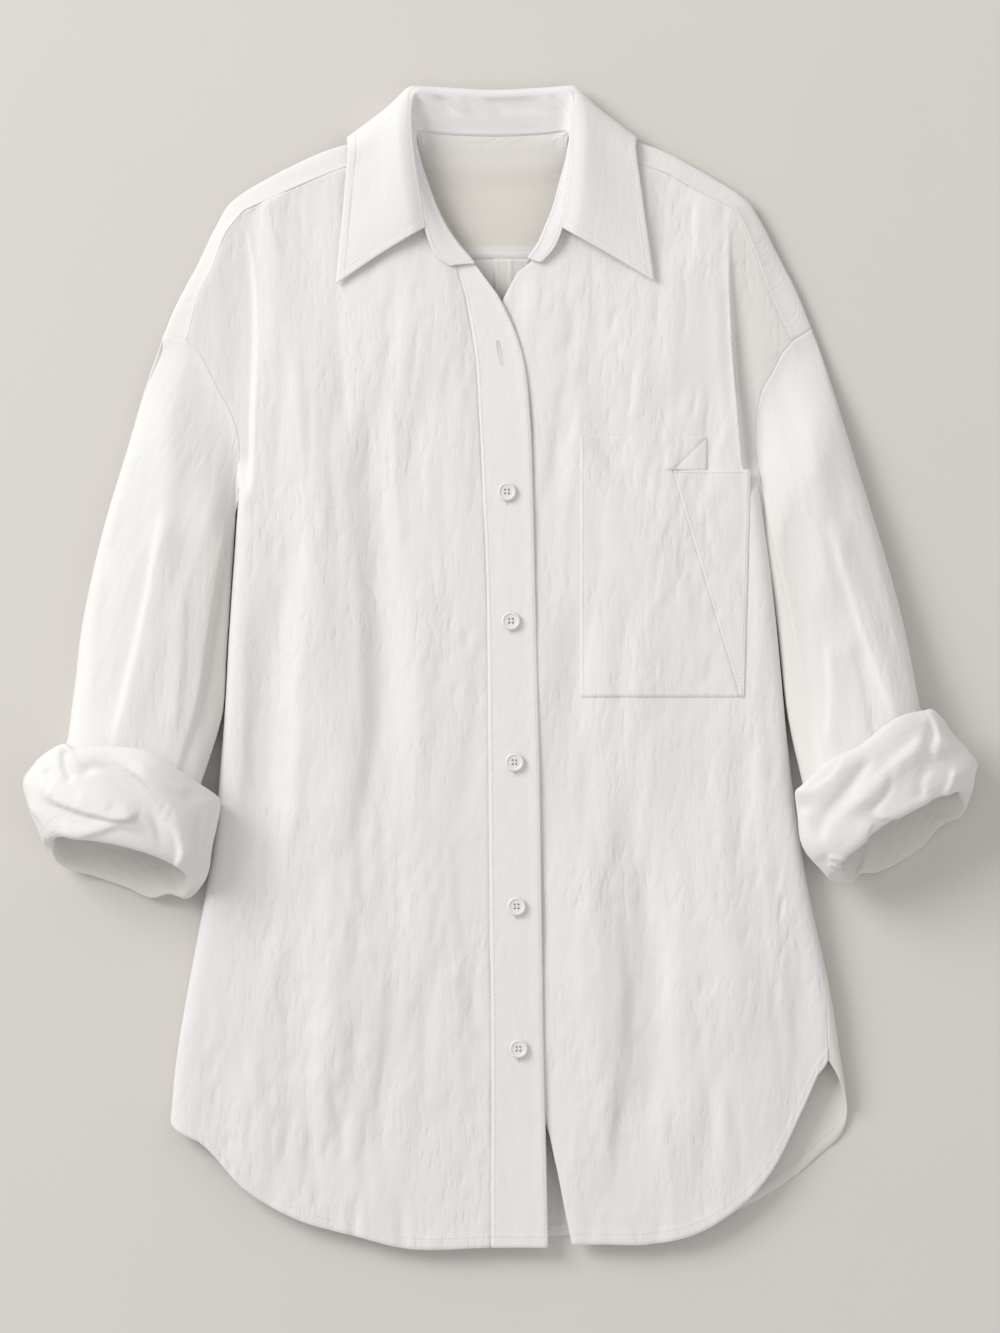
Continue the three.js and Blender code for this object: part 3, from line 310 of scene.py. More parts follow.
def smooth_curve(points, fine=FINE):
    """Points of a smooth curve through the given ones, fine steps to a span."""
    p = np.array([(*q, FLOOR) if len(q) == 2 else tuple(q) for q in points], float)
    p = np.vstack([2 * p[0] - p[1], p, 2 * p[-1] - p[-2]])
    gap = np.maximum(np.linalg.norm(np.diff(p, axis=0), axis=1) ** 0.5, 1e-3)
    made = []
    for k in range(1, len(p) - 2):
        a, b, c = gap[k - 1:k + 2]
        before, here, after, later = p[k - 1:k + 3]
        leaving = ((here - before) / a - (after - before) / (a + b) + (after - here) / b) * b
        arriving = ((after - here) / b - (later - here) / (b + c) + (later - after) / c) * b
        t = np.linspace(0, 1, fine, endpoint=False)[:, None]
        made.append(hermite(t, here, after, leaving, arriving))
    return np.vstack([*made, p[-2]])

def sampled(curve, where):
    """A function from 0 to 1 along a curve's points, where says how far each of them is."""
    def at(t):
        return np.stack([np.interp(np.clip(t, 0, 1), where, curve[:, k]) for k in range(3)], -1)
    return at

def path(points):
    """A smooth curve through points, at even distances."""
    curve = smooth_curve(points)
    length = np.concatenate([[0], np.cumsum(np.linalg.norm(np.diff(curve, axis=0), axis=1))])
    return sampled(curve, length / length[-1])

def rail(points):
    """A smooth curve through points, with even shares for its spans."""
    curve = smooth_curve(points)
    return sampled(curve, np.linspace(0, 1, len(curve)))

def line(x_of, y0, y1):
    """The upright line whose x is a function of y."""
    def at(t):
        y = mix(y0, y1, np.asarray(t, float))
        return np.stack([x_of(y) + 0 * y, y, 0 * y], -1)
    return at

def chain(first, second, share):
    """Two curves in a row. The first one ends at the given share."""
    return lambda t: np.where(np.asarray(t)[..., None] < share, first(t / share),
                              second((t - share) / (1 - share)))

def patch(bottom, top, left, right, u, v):
    """A grid of points between four facing sides, rows along v and columns along u."""
    U, V = u[None, :, None], v[:, None, None]
    zero, one = np.array([0.0]), np.array([1.0])
    grid = bottom(u)[None] * (1 - V) + top(u)[None] * V
    grid = grid + left(v)[:, None] * (1 - U) + right(v)[:, None] * U
    grid = grid - bottom(zero)[None] * (1 - U) * (1 - V) - bottom(one)[None] * U * (1 - V)
    return grid - top(zero)[None] * (1 - U) * V - top(one)[None] * U * V

def steps(*stops):
    """Rising numbers from 0 to 1 that hit each stop: (share, how many steps lead to it)."""
    made, last = [0.0], 0.0
    for share, count in stops:
        made += list(np.linspace(last, share, count + 1)[1:])
        last = share
    return np.array(made)

print("half way through a smooth step:", smooth(0, 1, 0.5))

# %% [markdown]
# ## Creases
# Crinkled cotton has three sizes of crease. The main folds are listed, each with its two ends, its
# width and its height. The bent creases of the sleeves and cuffs follow a short path, with a width
# for each side. Between them the cloth is covered with long narrow wrinkles, which a stretched
# noise makes: its hills are several times as long as they are wide, and folding the noise at zero
# turns each slope into a crease. The finest ones are left to the material.

# %% Noise, wrinkles and folds
def noise(x, y, seed):
    """Smooth random hills about one unit wide, from -1 to 1."""
    xi, yi = np.floor(x), np.floor(y)
    fx, fy = x - xi, y - yi
    fx, fy = fx**3 * (fx * (fx * 6 - 15) + 10), fy**3 * (fy * (fy * 6 - 15) + 10)
    def corner(i, j):
        h = np.sin((xi + i) * 127.1 + (yi + j) * 311.7 + seed * 74.7) * 43758.5453
        return (h - np.floor(h)) * 2 - 1
    return mix(mix(corner(0, 0), corner(1, 0), fx), mix(corner(0, 1), corner(1, 1), fx), fy)

WRINKLES = [  # width across, length along, depth, lean to the side, how sharp
    (26.0, 230.0, 2.00, 0.03, 0.0),
    (14.0, 80.0, 1.05, 0.09, 0.2),
    (8.0, 38.0, 0.76, -0.07, 0.35),
    (5.0, 18.0, 0.52, 0.14, 0.45),
]

def wrinkled(x, y, seed, size=1.0):
    """Lengthwise wrinkles of crinkled cotton, in millimetres, about zero."""
    x, y = x / size, y / size
    sway = 4 * noise(x / 90, y / 110, seed) + 1.5 * noise(x / 14, y / 24, seed + 1)
    total = 0.0
    for k, (across, along, depth, lean, sharp) in enumerate(WRINKLES):
        hills = noise((x + sway - lean * y) / across, y / along, seed + 2 + k)
        crease = 0.45 - 1.5 * np.sqrt(hills**2 + 0.01)
        patch_of = np.clip(0.75 + 1.1 * noise(x / 60 + 3.3 * k, y / 75, seed + 9 + k), 0.15, 1.7)
        total = total + depth * patch_of * mix(hills, crease, sharp)
    return total

def lift_of(folds, x, y):
    """The height of a table of folds, each fading out towards its two ends."""
    lift = 0.0
    for x0, y0, x1, y1, wide, rise in folds:
        dx, dy = x1 - x0, y1 - y0
        t = np.clip(((x - x0) * dx + (y - y0) * dy) / (dx * dx + dy * dy), 0, 1)
        away = np.hypot(x - x0 - t * dx, y - y0 - t * dy)
        lift = lift + rise * bump(away, 0, wide) * smooth(0, 0.25, t) * smooth(0, 0.25, 1 - t)
    return lift

def crease_lift(creases, x, y):
    """The height of bent creases. Each may be steep on one side and soft on the other."""
    lift = 0.0
    for points, rise, wide_left, wide_right in creases:
        route = smooth_curve(points, 8)[:, :2]
        a, b = route[:-1], route[1:]
        d = b - a
        px, py = x[..., None] - a[:, 0], y[..., None] - a[:, 1]
        t = np.clip((px * d[:, 0] + py * d[:, 1]) / np.maximum((d**2).sum(1), 1e-9), 0, 1)
        away = np.hypot(px - t * d[:, 0], py - t * d[:, 1])
        nearest = away.argmin(-1)
        along = (nearest + np.take_along_axis(t, nearest[..., None], -1)[..., 0]) / len(d)
        turn = np.take_along_axis(d[:, 0] * py - d[:, 1] * px, nearest[..., None], -1)[..., 0]
        wide = np.where(turn > 0, wide_left, wide_right)
        shape = bump(away.min(-1), 0, wide)
        lift = lift + rise * shape * smooth(0, 0.2, along) * smooth(0, 0.2, 1 - along)
    return lift

# %% [markdown]
# ## From a grid to cloth
# A piece of cloth starts as a grid of points along its middle. The grid is moved along
# its normals by the creases, then copied half a thickness to each side, and the rim
# its normals by the creases, then copied half a thickness to each side, and the rim
# between the two copies is rounded with one more row. The cloth's own map is in real
# millimetres: distances along the cloth, or the places of its points before they are
# folded. Distances along the grid also say how large the piece was cut.

# %% The shell builder
def unit(v):
    return v / np.maximum(np.linalg.norm(v, axis=-1, keepdims=True), 1e-9)

def slope_of(grid, axis, around):
    if around and axis == 1:
        return np.roll(grid, -1, 1) - np.roll(grid, 1, 1)
    return np.gradient(grid, axis=axis)

def normals_of(grid, around=False):
    return unit(np.cross(slope_of(grid, 1, around), slope_of(grid, 0, around)))

def distances(grid, axis):
    """How far each point is from the grid's first edge, along the cloth."""
    step = np.linalg.norm(np.diff(grid, axis=axis), axis=-1)
    pad = [(0, 0), (0, 0)]
    pad[axis] = (1, 0)
    return np.cumsum(np.pad(step, pad), axis=axis)

def mesh_object(name, points, quads, material, corner_uv, painted_shade):
    mesh = bpy.data.meshes.new(name)
    mesh.vertices.add(len(points))
    mesh.vertices.foreach_set("co", (points * MM).astype(np.float32).ravel())
    mesh.loops.add(quads.size)
    mesh.loops.foreach_set("vertex_index", quads.astype(np.int32).ravel())
    mesh.polygons.add(len(quads))
    mesh.polygons.foreach_set("loop_start", np.arange(0, quads.size, 4, dtype=np.int32))
    mesh.update(calc_edges=True)
    layer = mesh.uv_layers.new(name="cloth")
    layer.data.foreach_set("uv", corner_uv.astype(np.float32).ravel())
    tint = mesh.attributes.new("painted_shade", "FLOAT", "POINT")
    tint.data.foreach_set("value", painted_shade.astype(np.float32))
    mesh.materials.append(material)
    mesh.shade_smooth()
    made = bpy.data.objects.new(name, mesh)
    bpy.context.scene.collection.objects.link(made)
    return made

def closed_round(grid, around=True):
    """A grid that goes round a tube gets its first column once more, as its last."""
    return np.concatenate([grid, grid[:, :1]], 1) if around else grid

def squares(rows, cols, around=False, ring=False):
    """The quads of a grid, and the four places on the map that each of them takes."""
    i, j = np.meshgrid(np.arange(rows if ring else rows - 1),
                       np.arange(cols if around else cols - 1), indexing="ij")
    i, j = i.ravel(), j.ravel()
    below, beside = (i + 1) % rows * cols, (j + 1) % cols
    quads = np.stack([i * cols + j, i * cols + beside, below + beside, below + j], -1)
    return quads, [(i, j), (i, j + 1), (i + 1, j + 1), (i + 1, j)]

def map_corners(across, along, places):
    return np.stack([np.stack([across[p], along[p]], -1) for p in places], 1)

RIM = 0.38  # how far the rounded rim stands out, in thicknesses

def edge_loops(rows, cols, around):
    """The rims of a grid as lists of (row, column, row inside, column inside)."""
    if around:
        first = [(0, j, 1, j) for j in range(cols)]
        last = [(rows - 1, j, rows - 2, j) for j in reversed(range(cols))]
        return [first, last]
    loop = [(0, j, 1, j) for j in range(cols - 1)]
    loop += [(i, cols - 1, i, cols - 2) for i in range(rows - 1)]
    loop += [(rows - 1, j, rows - 2, j) for j in range(cols - 1, 0, -1)]
    return [loop + [(i, 0, i, 1) for i in range(rows - 1, 0, -1)]]

def cloth(name, grid, relief, material, thick=CLOTH, around=False, painted_shade=None, chart=None):
    """A closed shell of cloth. Returns its object and the grid of its upper side.

    The relief moves the cloth along its normals, the painted-shade mask darkens and warms its
    colour point by point, and chart is its map.
    """
    rows, cols = grid.shape[:2]
    middle = grid + normals_of(grid, around) * np.asarray(relief + 0 * grid[..., 0])[..., None]
    half = normals_of(middle, around) * thick / 2
    upper, lower = middle + half, middle - half
    count = rows * cols
    points = [upper.reshape(-1, 3), lower.reshape(-1, 3)]
    tint = (0 if painted_shade is None else painted_shade) + 0 * grid[..., 0]
    tints = [tint.ravel(), tint.ravel()]
    square, places = squares(rows, cols, around)
    quads = [square, square[:, ::-1] + count]
    closed = closed_round(grid, around)
    across, along = chart or (distances(closed, 1), distances(closed, 0))
    corner = map_corners(across, along, places)
    uv = [corner, corner[:, ::-1]]
    start = 2 * count
    for loop in edge_loops(rows, cols, around):
        r, c, ri, ci = np.array(loop).T
        outward = unit(middle[r, c] - middle[ri, ci])
        points.append(middle[r, c] + outward * thick * RIM)
        tints.append(tint[r, c])
        here, ahead = np.arange(len(loop)), np.roll(np.arange(len(loop)), -1)
        top, rim = r * cols + c, start + here
        quads.append(np.stack([top, rim, rim[ahead], top[ahead]], -1))
        quads.append(np.stack([rim, top + count, top[ahead] + count, rim[ahead]], -1))
        at = np.stack([across[r, c], along[r, c]], -1)
        side = np.stack([at, at, at[ahead], at[ahead]], 1)
        uv += [side, side]
        start += len(loop)
    points = np.vstack(points)
    points[:, 2] = np.maximum(points[:, 2], 0)
    made = mesh_object(name, points, np.vstack(quads), material, np.vstack(uv) * MM,
                       np.concatenate(tints))
    return made, upper

def declare(piece, node_name):
    """Puts a finished piece under the root body, and hides the plain model's node that it replaces.
    """
    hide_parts(node_name)
    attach(piece, "root")

def edge_first(grid, edge):
    """The same grid with one of its edges brought to the first column."""
    return {"left": grid, "right": grid[:, ::-1], "bottom": grid.transpose(1, 0, 2),
            "top": grid[::-1].transpose(1, 0, 2)}[edge]

def sewn_to(grid, edge, seam, limit, fade=12.0):
    """Draws one edge of a grid to the seam line beside it, and the cloth behind it after it.

    Points farther than limit from the seam stay, and the pull ends fade from the edge.
    """
    moved = edge_first(grid, edge).copy()
    first = moved[:, 0]
    a, d = seam[:-1], np.diff(seam, axis=0)
    t = ((first[:, None] - a) * d).sum(-1) / np.maximum((d * d).sum(-1), 1e-9)
    near = a + np.clip(t, 0, 1)[..., None] * d
    away = np.linalg.norm(near - first[:, None], axis=-1)
    best = away.argmin(1)
    length = away.min(1)
    move = near[np.arange(len(first)), best] - first
    share = np.maximum(1 - SEAM / np.maximum(length, SEAM), 0) * smooth(limit, limit * 0.6, length)
    move = move * share[:, None]
    ease = 1 - smooth(0, fade, distances(moved, 1))
    moved += move[:, None] * ease[..., None]
    return {"left": moved, "right": moved[:, ::-1], "bottom": moved.transpose(1, 0, 2),
            "top": moved.transpose(1, 0, 2)[::-1]}[edge]

# %% Lines that the thread will follow
stitch_lines = []
THREAD_LIFT = 0.12  # thread lies a little above the cloth

def stitch(grid, edge, inset, start=0.0, end=1.0):
    """Keeps a line a little inside one edge of a grid, between two shares of its length."""
    rows = edge_first(grid + normals_of(grid) * THREAD_LIFT, edge)
    made = []
    for away, row in zip(distances(rows, 1), rows):
        made.append([np.interp(inset, away, row[:, k]) for k in range(3)])
    first, last = int(start * (len(made) - 1)), int(end * (len(made) - 1))
    stitch_lines.append(np.array(made)[first:last + 1])

# %% [markdown]
# ## The body's form
# The fronts lie on the back like two flattened shells. At each side the cloth turns
# round a soft fold, and the side seam lies a little way round it. The functions below
# take a place on the unrolled cloth and give the place where it lies.

# %% Tables of the body, in millimetres
BODY_NAMES = ("y", "right", "left", "seam", "edge", "free", "join", "top", "round")
BODY = np.array([
    (-394, -226, 241, -6.0, 32.0, 49.2, 81, 12.0, 20),
    (-366, -226, 240, -6.0, 31.5, 43.6, 75, 12.6, 20),
    (-335, -225, 238, -5.9, 30.8, 37.4, 69, 13.4, 19),
    (-304, -223, 236, -5.8, 30.0, 29.0, 61, 14.4, 18),
    (-260, -219, 229.5, -5.8, 29.0, 3.0, 34.5, 16.5, 16),
    (-219, -212, 223, -6.2, 28.4, -5.5, 26.5, 18.2, 14),
    (-138, -197, 206, -7.2, 27.3, -7.2, 24.5, 20.0, 12),
    (-56, -188, 194.5, -7.8, 26.0, -8.6, 23, 21.0, 11),
    (46, -182, 184.5, -9.0, 23.5, -10.6, 20.5, 21.0, 10),
    (127, -176.5, 174, -12.2, 21.6, -13.4, 18.5, 20.0, 9),
    (171, -174.5, 169, -14.4, 19.8, -15.0, 16.5, 19.0, 8),
    (213, -172, 164.7, -17.0, 14.6, -14.5, 11.0, 17.4, 7),
    (249, -171, 161.5, -23.3, 0.0, 1.8, 17.5, 15.4, 6),
    (271, -172, 159.6, -29.4, -15.6, 13.5, 25.5, 14.2, 5),
    (300, -174, 158.2, -36.4, -31, 29, 39, 13.0, 4),
    (350, -176, 157, -57, -50, 46, 50, 12.0, 4)], float)
SIDE_NAMES = ("y", "right", "left")
SIDE_SEAM = np.array([(-310, 0.45, 0.1), (-264, 0.75, 0.14), (-219, 1.1, 0.3), (-138, 1.9, 0.8),
                      (-56, 2.1, 1.7), (46, 1.8, 1.7), (84, 0.95, 0.95), (118, 0.44, 0.44)], float)
UNDERSIDE_UNIT = 25  # how much cloth on the underside one unit of a turn stands for
FRONT_HEM = {
    "right": [(-6.2, -393), (-62, -394), (-96, -386), (-138, -374), (-173, -354), (-200, -325),
              (-215, -308)],
    "left": [(99, -391), (132, -384), (161.5, -366), (183.5, -342), (204, -301), (214.5, -266)]}
BACK_HEM = [(-228, -306), (-197, -323), (-166, -346), (-130, -364), (-70, -380), (40, -386),
            (120, -379), (162, -368), (209, -338), (230, -312), (247, -266)]
ARMHOLE = {
    "right": [(-176.5, 118), (-177, 146), (-181, 168), (-193.5, 193), (-203, 212), (-212.5, 222)],
    "left": [(175.5, 118), (173.5, 150), (177, 185), (184.5, 199.5), (191.5, 213), (198, 221)]}
YOKE_SIDE = {
    "right": [(-212.5, 222), (-204, 255), (-196, 270), (-186, 295), (-174, 310)],
    "left": [(198, 221), (183, 254), (172, 284), (164, 303), (159, 311)]}
YOKE_TOP = {
    "right": [(-174, 310), (-134, 328), (-109, 338), (-80, 346), (-57, 351)],
    "left": [(159, 311), (131, 325), (108.5, 337), (78, 346), (46.5, 351)]}
NECK = {
    "right": [(-34.7, 290), (-43, 311), (-51, 332), (-57, 351)],
    "left": [(32.9, 285), (36, 311), (41.5, 332), (46.5, 351)]}
FOLDS = [  # from x, y to x, y, width, height
    (-92, 210, -70, -120, 15, -2.4), (-128, 255, -122, -60, 13, 1.8),
    (-60, 90, -48, -250, 14, 1.5), (-150, 60, -165, -230, 15, -1.6),
    (-110, -120, -126, -340, 16, 1.6), (50, 262, 84, 110, 16, -1.6),
    (118, 290, 110, 180, 14, 1.6), (86, -60, 118, -330, 15, -2.2), (140, -70, 168, -270, 15, 1.8),
    (56, -110, 72, -350, 11, 1.4)]
MAIN_CREASES = [  # narrower creases between the folds
    (-112, 262, -104, 150, 4.0, -0.7), (-140, 240, -132, 120, 5.0, 0.6),
    (-74, 200, -66, 60, 4.0, 0.6), (-150, 190, -156, 60, 4.5, -0.6),
    (-98, 90, -92, -60, 4.0, 0.6), (-132, 30, -142, -140, 5.0, 0.7),
    (-40, 150, -30, -30, 4.0, -0.5), (-170, 10, -182, -150, 4.5, 0.6),
    (-76, -60, -86, -230, 5.0, -0.7), (-150, -170, -172, -310, 5.0, 0.7),
    (-34, -120, -24, -330, 4.5, 0.6), (-96, -230, -112, -360, 4.5, -0.6),
    (60, 250, 44, 160, 4.0, 0.6), (96, 270, 88, 176, 4.0, -0.6),
    (146, 270, 150, 170, 4.5, 0.6), (46, 140, 40, 10, 3.5, 0.5),
    (60, -40, 52, -190, 4.5, -0.6), (104, -30, 92, -160, 4.5, 0.7),
    (136, -30, 148, -180, 4.5, -0.6), (172, -20, 182, -180, 5.0, 0.6),
    (84, -190, 70, -350, 4.5, 0.6), (128, -200, 148, -340, 5.0, -0.7),
    (182, -160, 200, -280, 4.5, 0.6), (106, -280, 120, -380, 4.0, 0.5)]

# %% Where the unrolled body lies
body = {name: column(BODY, BODY_NAMES, name) for name in BODY_NAMES[1:]}
seam_turn = {side: column(SIDE_SEAM, SIDE_NAMES, side) for side in SIDES}

FOLD_SHARE = 1.5  # how strongly the folds show

def front_height(x, y):
    """The middle of the upper layer."""
    return body["top"](y) + FOLD_SHARE * lift_of(FOLDS, x, y)

def under_height(x, y):
    """The left front, which goes under the right one at the placket."""
    return front_height(x, y) - LAYER * (1 - smooth(4, 34, x - body["edge"](y)))

def fold_length(y):
    return math.pi * (body["round"](y) + body["top"](y) / 2) / 2

def fold_start(side, y):
    return body[side](y) - SIDES[side] * body["round"](y)

def side_fold(side, y, turn):
    """Turn 0 is the upper end of the fold, 1 its lower end, and past 1 the underside."""
    sign, start = SIDES[side], fold_start(side, y)
    half = (front_height(start, y) - FLOOR) / 2
    angle = math.pi * np.clip(turn, 0, 1)
    out, up = np.sin(angle) ** 0.8, np.sign(np.cos(angle)) * np.abs(np.cos(angle)) ** 0.62
    x = start + sign * body["round"](y) * out - sign * np.maximum(turn - 1, 0) * UNDERSIDE_UNIT
    return np.stack([x, y + 0 * x, FLOOR + half * (1 + up)], -1)

def seam_reach(side, y):
    turn, length = seam_turn[side](y), fold_length(y)
    return np.where(turn <= 1, turn * length, length + (turn - 1) * UNDERSIDE_UNIT)

def seam_on_front(side, y):
    return fold_start(side, y) + SIDES[side] * (seam_reach(side, y) - SEAM)

def seam_on_back(side, y):
    return fold_start(side, y) + SIDES[side] * (fold_length(y) - seam_reach(side, y) - SEAM)

def wrap_front(side, s, y, height):
    """Where a front's unrolled points lie: flat, round the side or down at the armhole."""
    sign, start, length = SIDES[side], fold_start(side, y), fold_length(y)
    past = sign * (s - start)
    turn = np.where(past <= length, past / length, 1 + (past - length) / UNDERSIDE_UNIT)
    rolled = side_fold(side, y, np.maximum(turn, 0))
    top = height(start, y)
    low = np.minimum(top, 9.5 + 3 * smooth(225, 310, y))
    stepped = np.stack([s, y, mix(top, low, smooth(0, 3.5, past))], -1)
    wrapped = mix(rolled, stepped, smooth(UNDERARM - 4, UNDERARM + 26, y)[..., None])
    flat = np.stack([s, y, height(s, y)], -1)
    return np.where((past <= 0)[..., None], flat, wrapped)

def wrap_back(s, y):
    """Where the back's unrolled points lie: on the floor, and up round both sides."""
    sides = []
    for side, sign in SIDES.items():
        past = sign * (s - fold_start(side, y))
        turned = side_fold(side, y, np.clip(1 - past / fold_length(y), 0, 1))
        flat = np.stack([s, y, FLOOR + 0 * s], -1)
        turned = mix(turned, flat, smooth(UNDERARM, UNDERARM + 20, y)[..., None])
        sides.append(np.where((past <= 0)[..., None], flat, turned))
    return np.where((s < 0)[..., None], sides[0], sides[1])

print("front height in the middle:", round(float(front_height(0.0, 0.0)), 1), "mm")

# %% [markdown]
# ## Hems and bands
# A hem is folded twice, so it is a little thicker than the cloth beside it, and the
# thread draws it into small puckers. The relief of a hem depends on only two things:
# how far a point is from the edge, and how far along the edge it lies.

# %% The relief of hems and seams
HEM_WIDE = 9.0
HEM_STITCH = HEM_WIDE - 1.6
EDGE_STITCH, BAND_STITCH, COLLAR_STITCH = 1.8, 2.2, 6.0

def hem(along, away, seed=40, pucker=0.30):
    band = 1 - smooth(HEM_WIDE - 0.8, HEM_WIDE + 0.8, away)
    near = bump(away, HEM_WIDE * 0.7, HEM_WIDE * 0.8)
    waves = noise(along / 4.6, away / 26, seed) + 0.5 * noise(along / 2.6, away / 14, seed + 1)
    return 0.34 * band + pucker * near * waves - 0.20 * bump(away, HEM_STITCH, 0.8)

def seam_groove(away, seed, along):
    """A seam's edge dips, and the thread beside it draws a shallow groove."""
    puckers = 0.16 * bump(away, 4.5, 3.4) * noise(along / 5.0, away / 9, seed)
    return puckers - 0.20 * bump(away, 0, 0.8) - 0.07 * bump(away, 2.0, 0.9)

# %% [markdown]
# ## The two fronts
# Each front is a patch between its hem, its side seam and armhole, the yoke seam, and
# the placket and neck. The grid has a point every two or three millimetres, which is
# enough for the wrinkles but still quick to draw.

# %% Build the fronts
SEAM_SHARE, ARM_SHARE, NECK_SHARE = 0.62, 0.86, 0.9
FRONT_V = steps((SEAM_SHARE, 184), (ARM_SHARE, 78), (NECK_SHARE, 12), (1.0, 32))
FRONT_U = steps((0.7, 67), (1.0, 42))

def front_grid(side, inner, hem_points, neck_points, height):
    sign = SIDES[side]
    hem_y = hem_points[-1][1]
    bottom = path([*hem_points[:-1], (float(seam_on_front(side, hem_y)), hem_y)])
    seam = line(lambda y: seam_on_front(side, y), hem_y, UNDERARM)
    arm = path([(float(seam_on_front(side, UNDERARM)), UNDERARM),
                *[(x - sign * SEAM, y) for x, y in ARMHOLE[side][1:]]])
    inward = lambda points: [(x - sign * SEAM, y - SEAM) for x, y in points]
    shoulder = path([tuple(arm(1.0)[:2]), *inward(YOKE_SIDE[side][1:])])
    outer = chain(chain(seam, arm, SEAM_SHARE / ARM_SHARE), shoulder, ARM_SHARE)
    yoke_line = path([tuple(shoulder(1.0)[:2]), *inward(YOKE_TOP[side][1:])])
    neck_line = path([*neck_points[:-1], tuple(yoke_line(1.0)[:2])])
    placket_side = line(inner, hem_points[0][1], neck_points[0][1])
    flat = patch(bottom, lambda t: yoke_line(1 - t), chain(placket_side, neck_line, NECK_SHARE),
                 outer, FRONT_U, FRONT_V)
    s, y = flat[..., 0], flat[..., 1]
    return wrap_front(side, s, y, height), s, y

def front_relief(side, s, y, grid):
    """Wrinkles and creases, pressed flat beside the seams, with the hem and the seams."""
    across, along = distances(grid, 1), distances(grid, 0)
    from_side = across[:, -1:] - across
    from_top = along[-1:] - along
    calm = smooth(0, 9, across) * smooth(0, 5, from_side) * smooth(0, 7, from_top)
    calm = 0.35 + 0.65 * calm
    relief = (wrinkled(s, y, 3 if side == "right" else 17) + lift_of(MAIN_CREASES, s, y)) * calm
    rolled = smooth(4, -4, SIDES[side] * (s - fold_start(side, y)))
    relief = relief * (0.35 + 0.65 * rolled)
    relief = relief + hem(across, along) + seam_groove(across, 51, along)
    return relief + seam_groove(from_top, 52, across) + seam_groove(from_side, 53, along)

HEM_END, NECK_END = -391, 268  # the ends of the left front's free edge
left_hem = [(float(body["free"](HEM_END)), HEM_END), (75, HEM_END), *FRONT_HEM["left"]]
left_neck = [(float(body["free"](NECK_END)), NECK_END), *NECK["left"]]
ARM_SHADE = {"right": 0.35, "left": 0.7}
front_tops, arm_lines, yoke_lines = {}, {}, {}
for side, inner, hem_points, neck_points, height in (
        ("right", lambda y: body["seam"](y) - SEAM, FRONT_HEM["right"], NECK["right"],
         front_height),
        ("left", body["free"], left_hem, left_neck, under_height)):
    grid, s, y = front_grid(side, inner, hem_points, neck_points, height)
    arm_lines[side] = grid[(FRONT_V >= SEAM_SHARE) & (FRONT_V <= ARM_SHARE), -1]
    yoke_lines[side] = np.vstack([grid[FRONT_V >= ARM_SHARE, -1], grid[-1, ::-1]])
    relief = front_relief(side, s, y, grid)
    if side == "right":  # the grid runs from the placket outwards, so this one is turned over
        grid, relief, s, y = grid[:, ::-1], relief[:, ::-1], s[:, ::-1], y[:, ::-1]
    # Painted shade on the low strip past the side fold, beside the armhole; stronger on the left
    # front.
    past = SIDES[side] * (grid[..., 0] - fold_start(side, grid[..., 1]))
    lower = ARM_SHADE[side] * smooth(0, 5, past) * smooth(UNDERARM + 4, UNDERARM + 30, grid[..., 1])
    piece, top = cloth(f"front_{side}_cloth", grid, relief, FRONT, painted_shade=lower, chart=(s, y))
    front_tops[side] = top
    declare(piece, f"front_{side}")

# %% [markdown]
# ## Plackets
# The upper placket is a pressed band with a row of thread along each side. The lower one
# shows only near the hem, where the front swings out from under it.

# %% Build the plackets
PLACKET_V = steps((1.0, 330))

def strip(x_left, x_right, y_bottom, y_left, y_right, height, u, v, clear=0.0):
    """A long band between two edges. Both ends may slant."""
    U, V = u[None, :], v[:, None]
    left_y, right_y = mix(y_bottom, y_left, V), mix(y_bottom, y_right, V)
    y = mix(left_y, right_y, U)
    x = mix(x_left(left_y) + clear, x_right(right_y) - clear, U)
    return np.stack([x, y, height(x, y)], -1)

over = strip(body["seam"], body["edge"], -393, NECK["right"][0][1], 271, front_height,
             steps((1.0, 26)), PLACKET_V)
under = strip(body["free"], body["join"], -390.5, 267, NECK["left"][0][1],
              lambda x, y: under_height(x, y) - 1.15, steps((1.0, 14)), steps((1.0, 240)), 0.3)
placket_tops = {}
for name, grid, seed in (("over", over, 5), ("under", under, 6)):
    across, along = distances(grid, 1), distances(grid, 0)
    far = across[:, -1:] - across
    relief = 0.13 * wrinkled(grid[..., 0], grid[..., 1], seed, 1.0) + 0.22
    relief = relief + seam_groove(across, 54, along) + seam_groove(far, 55, along)
    relief = relief + 0.7 * hem(across, along, pucker=0.12)
    if name == "over":
        relief = relief + 0.35 * smooth(9, 2, far)
    piece, placket_tops[name] = cloth(f"placket_{name}_cloth", grid, relief, BAND, thick=1.0,
                                     chart=(grid[..., 0], grid[..., 1]))
    declare(piece, f"placket_{name}")
for edge, inset in (("left", BAND_STITCH), ("right", BAND_STITCH), ("bottom", HEM_STITCH)):
    stitch(placket_tops["over"], edge, inset)
for side in SIDES:
    stitch(front_tops[side], "bottom", HEM_STITCH)

# %% [markdown]
# ## The back
# The back lies on the floor under everything else. It shows inside the neck, in the slit
# of the hem and at the lower right corner, where it wraps round the side. A box pleat
# runs down from the middle of the yoke.

# %% Build the back
PLEAT_X, PLEAT_HALF, PLEAT_FADE = 8, 11, (120, 210)
BACK_V = steps((SEAM_SHARE, 84), (1.0, 66))
YOKE_GAP = 0.3
BACK_ENDS = {"right": (-212.5, 221.4), "left": (198, 220.4)}

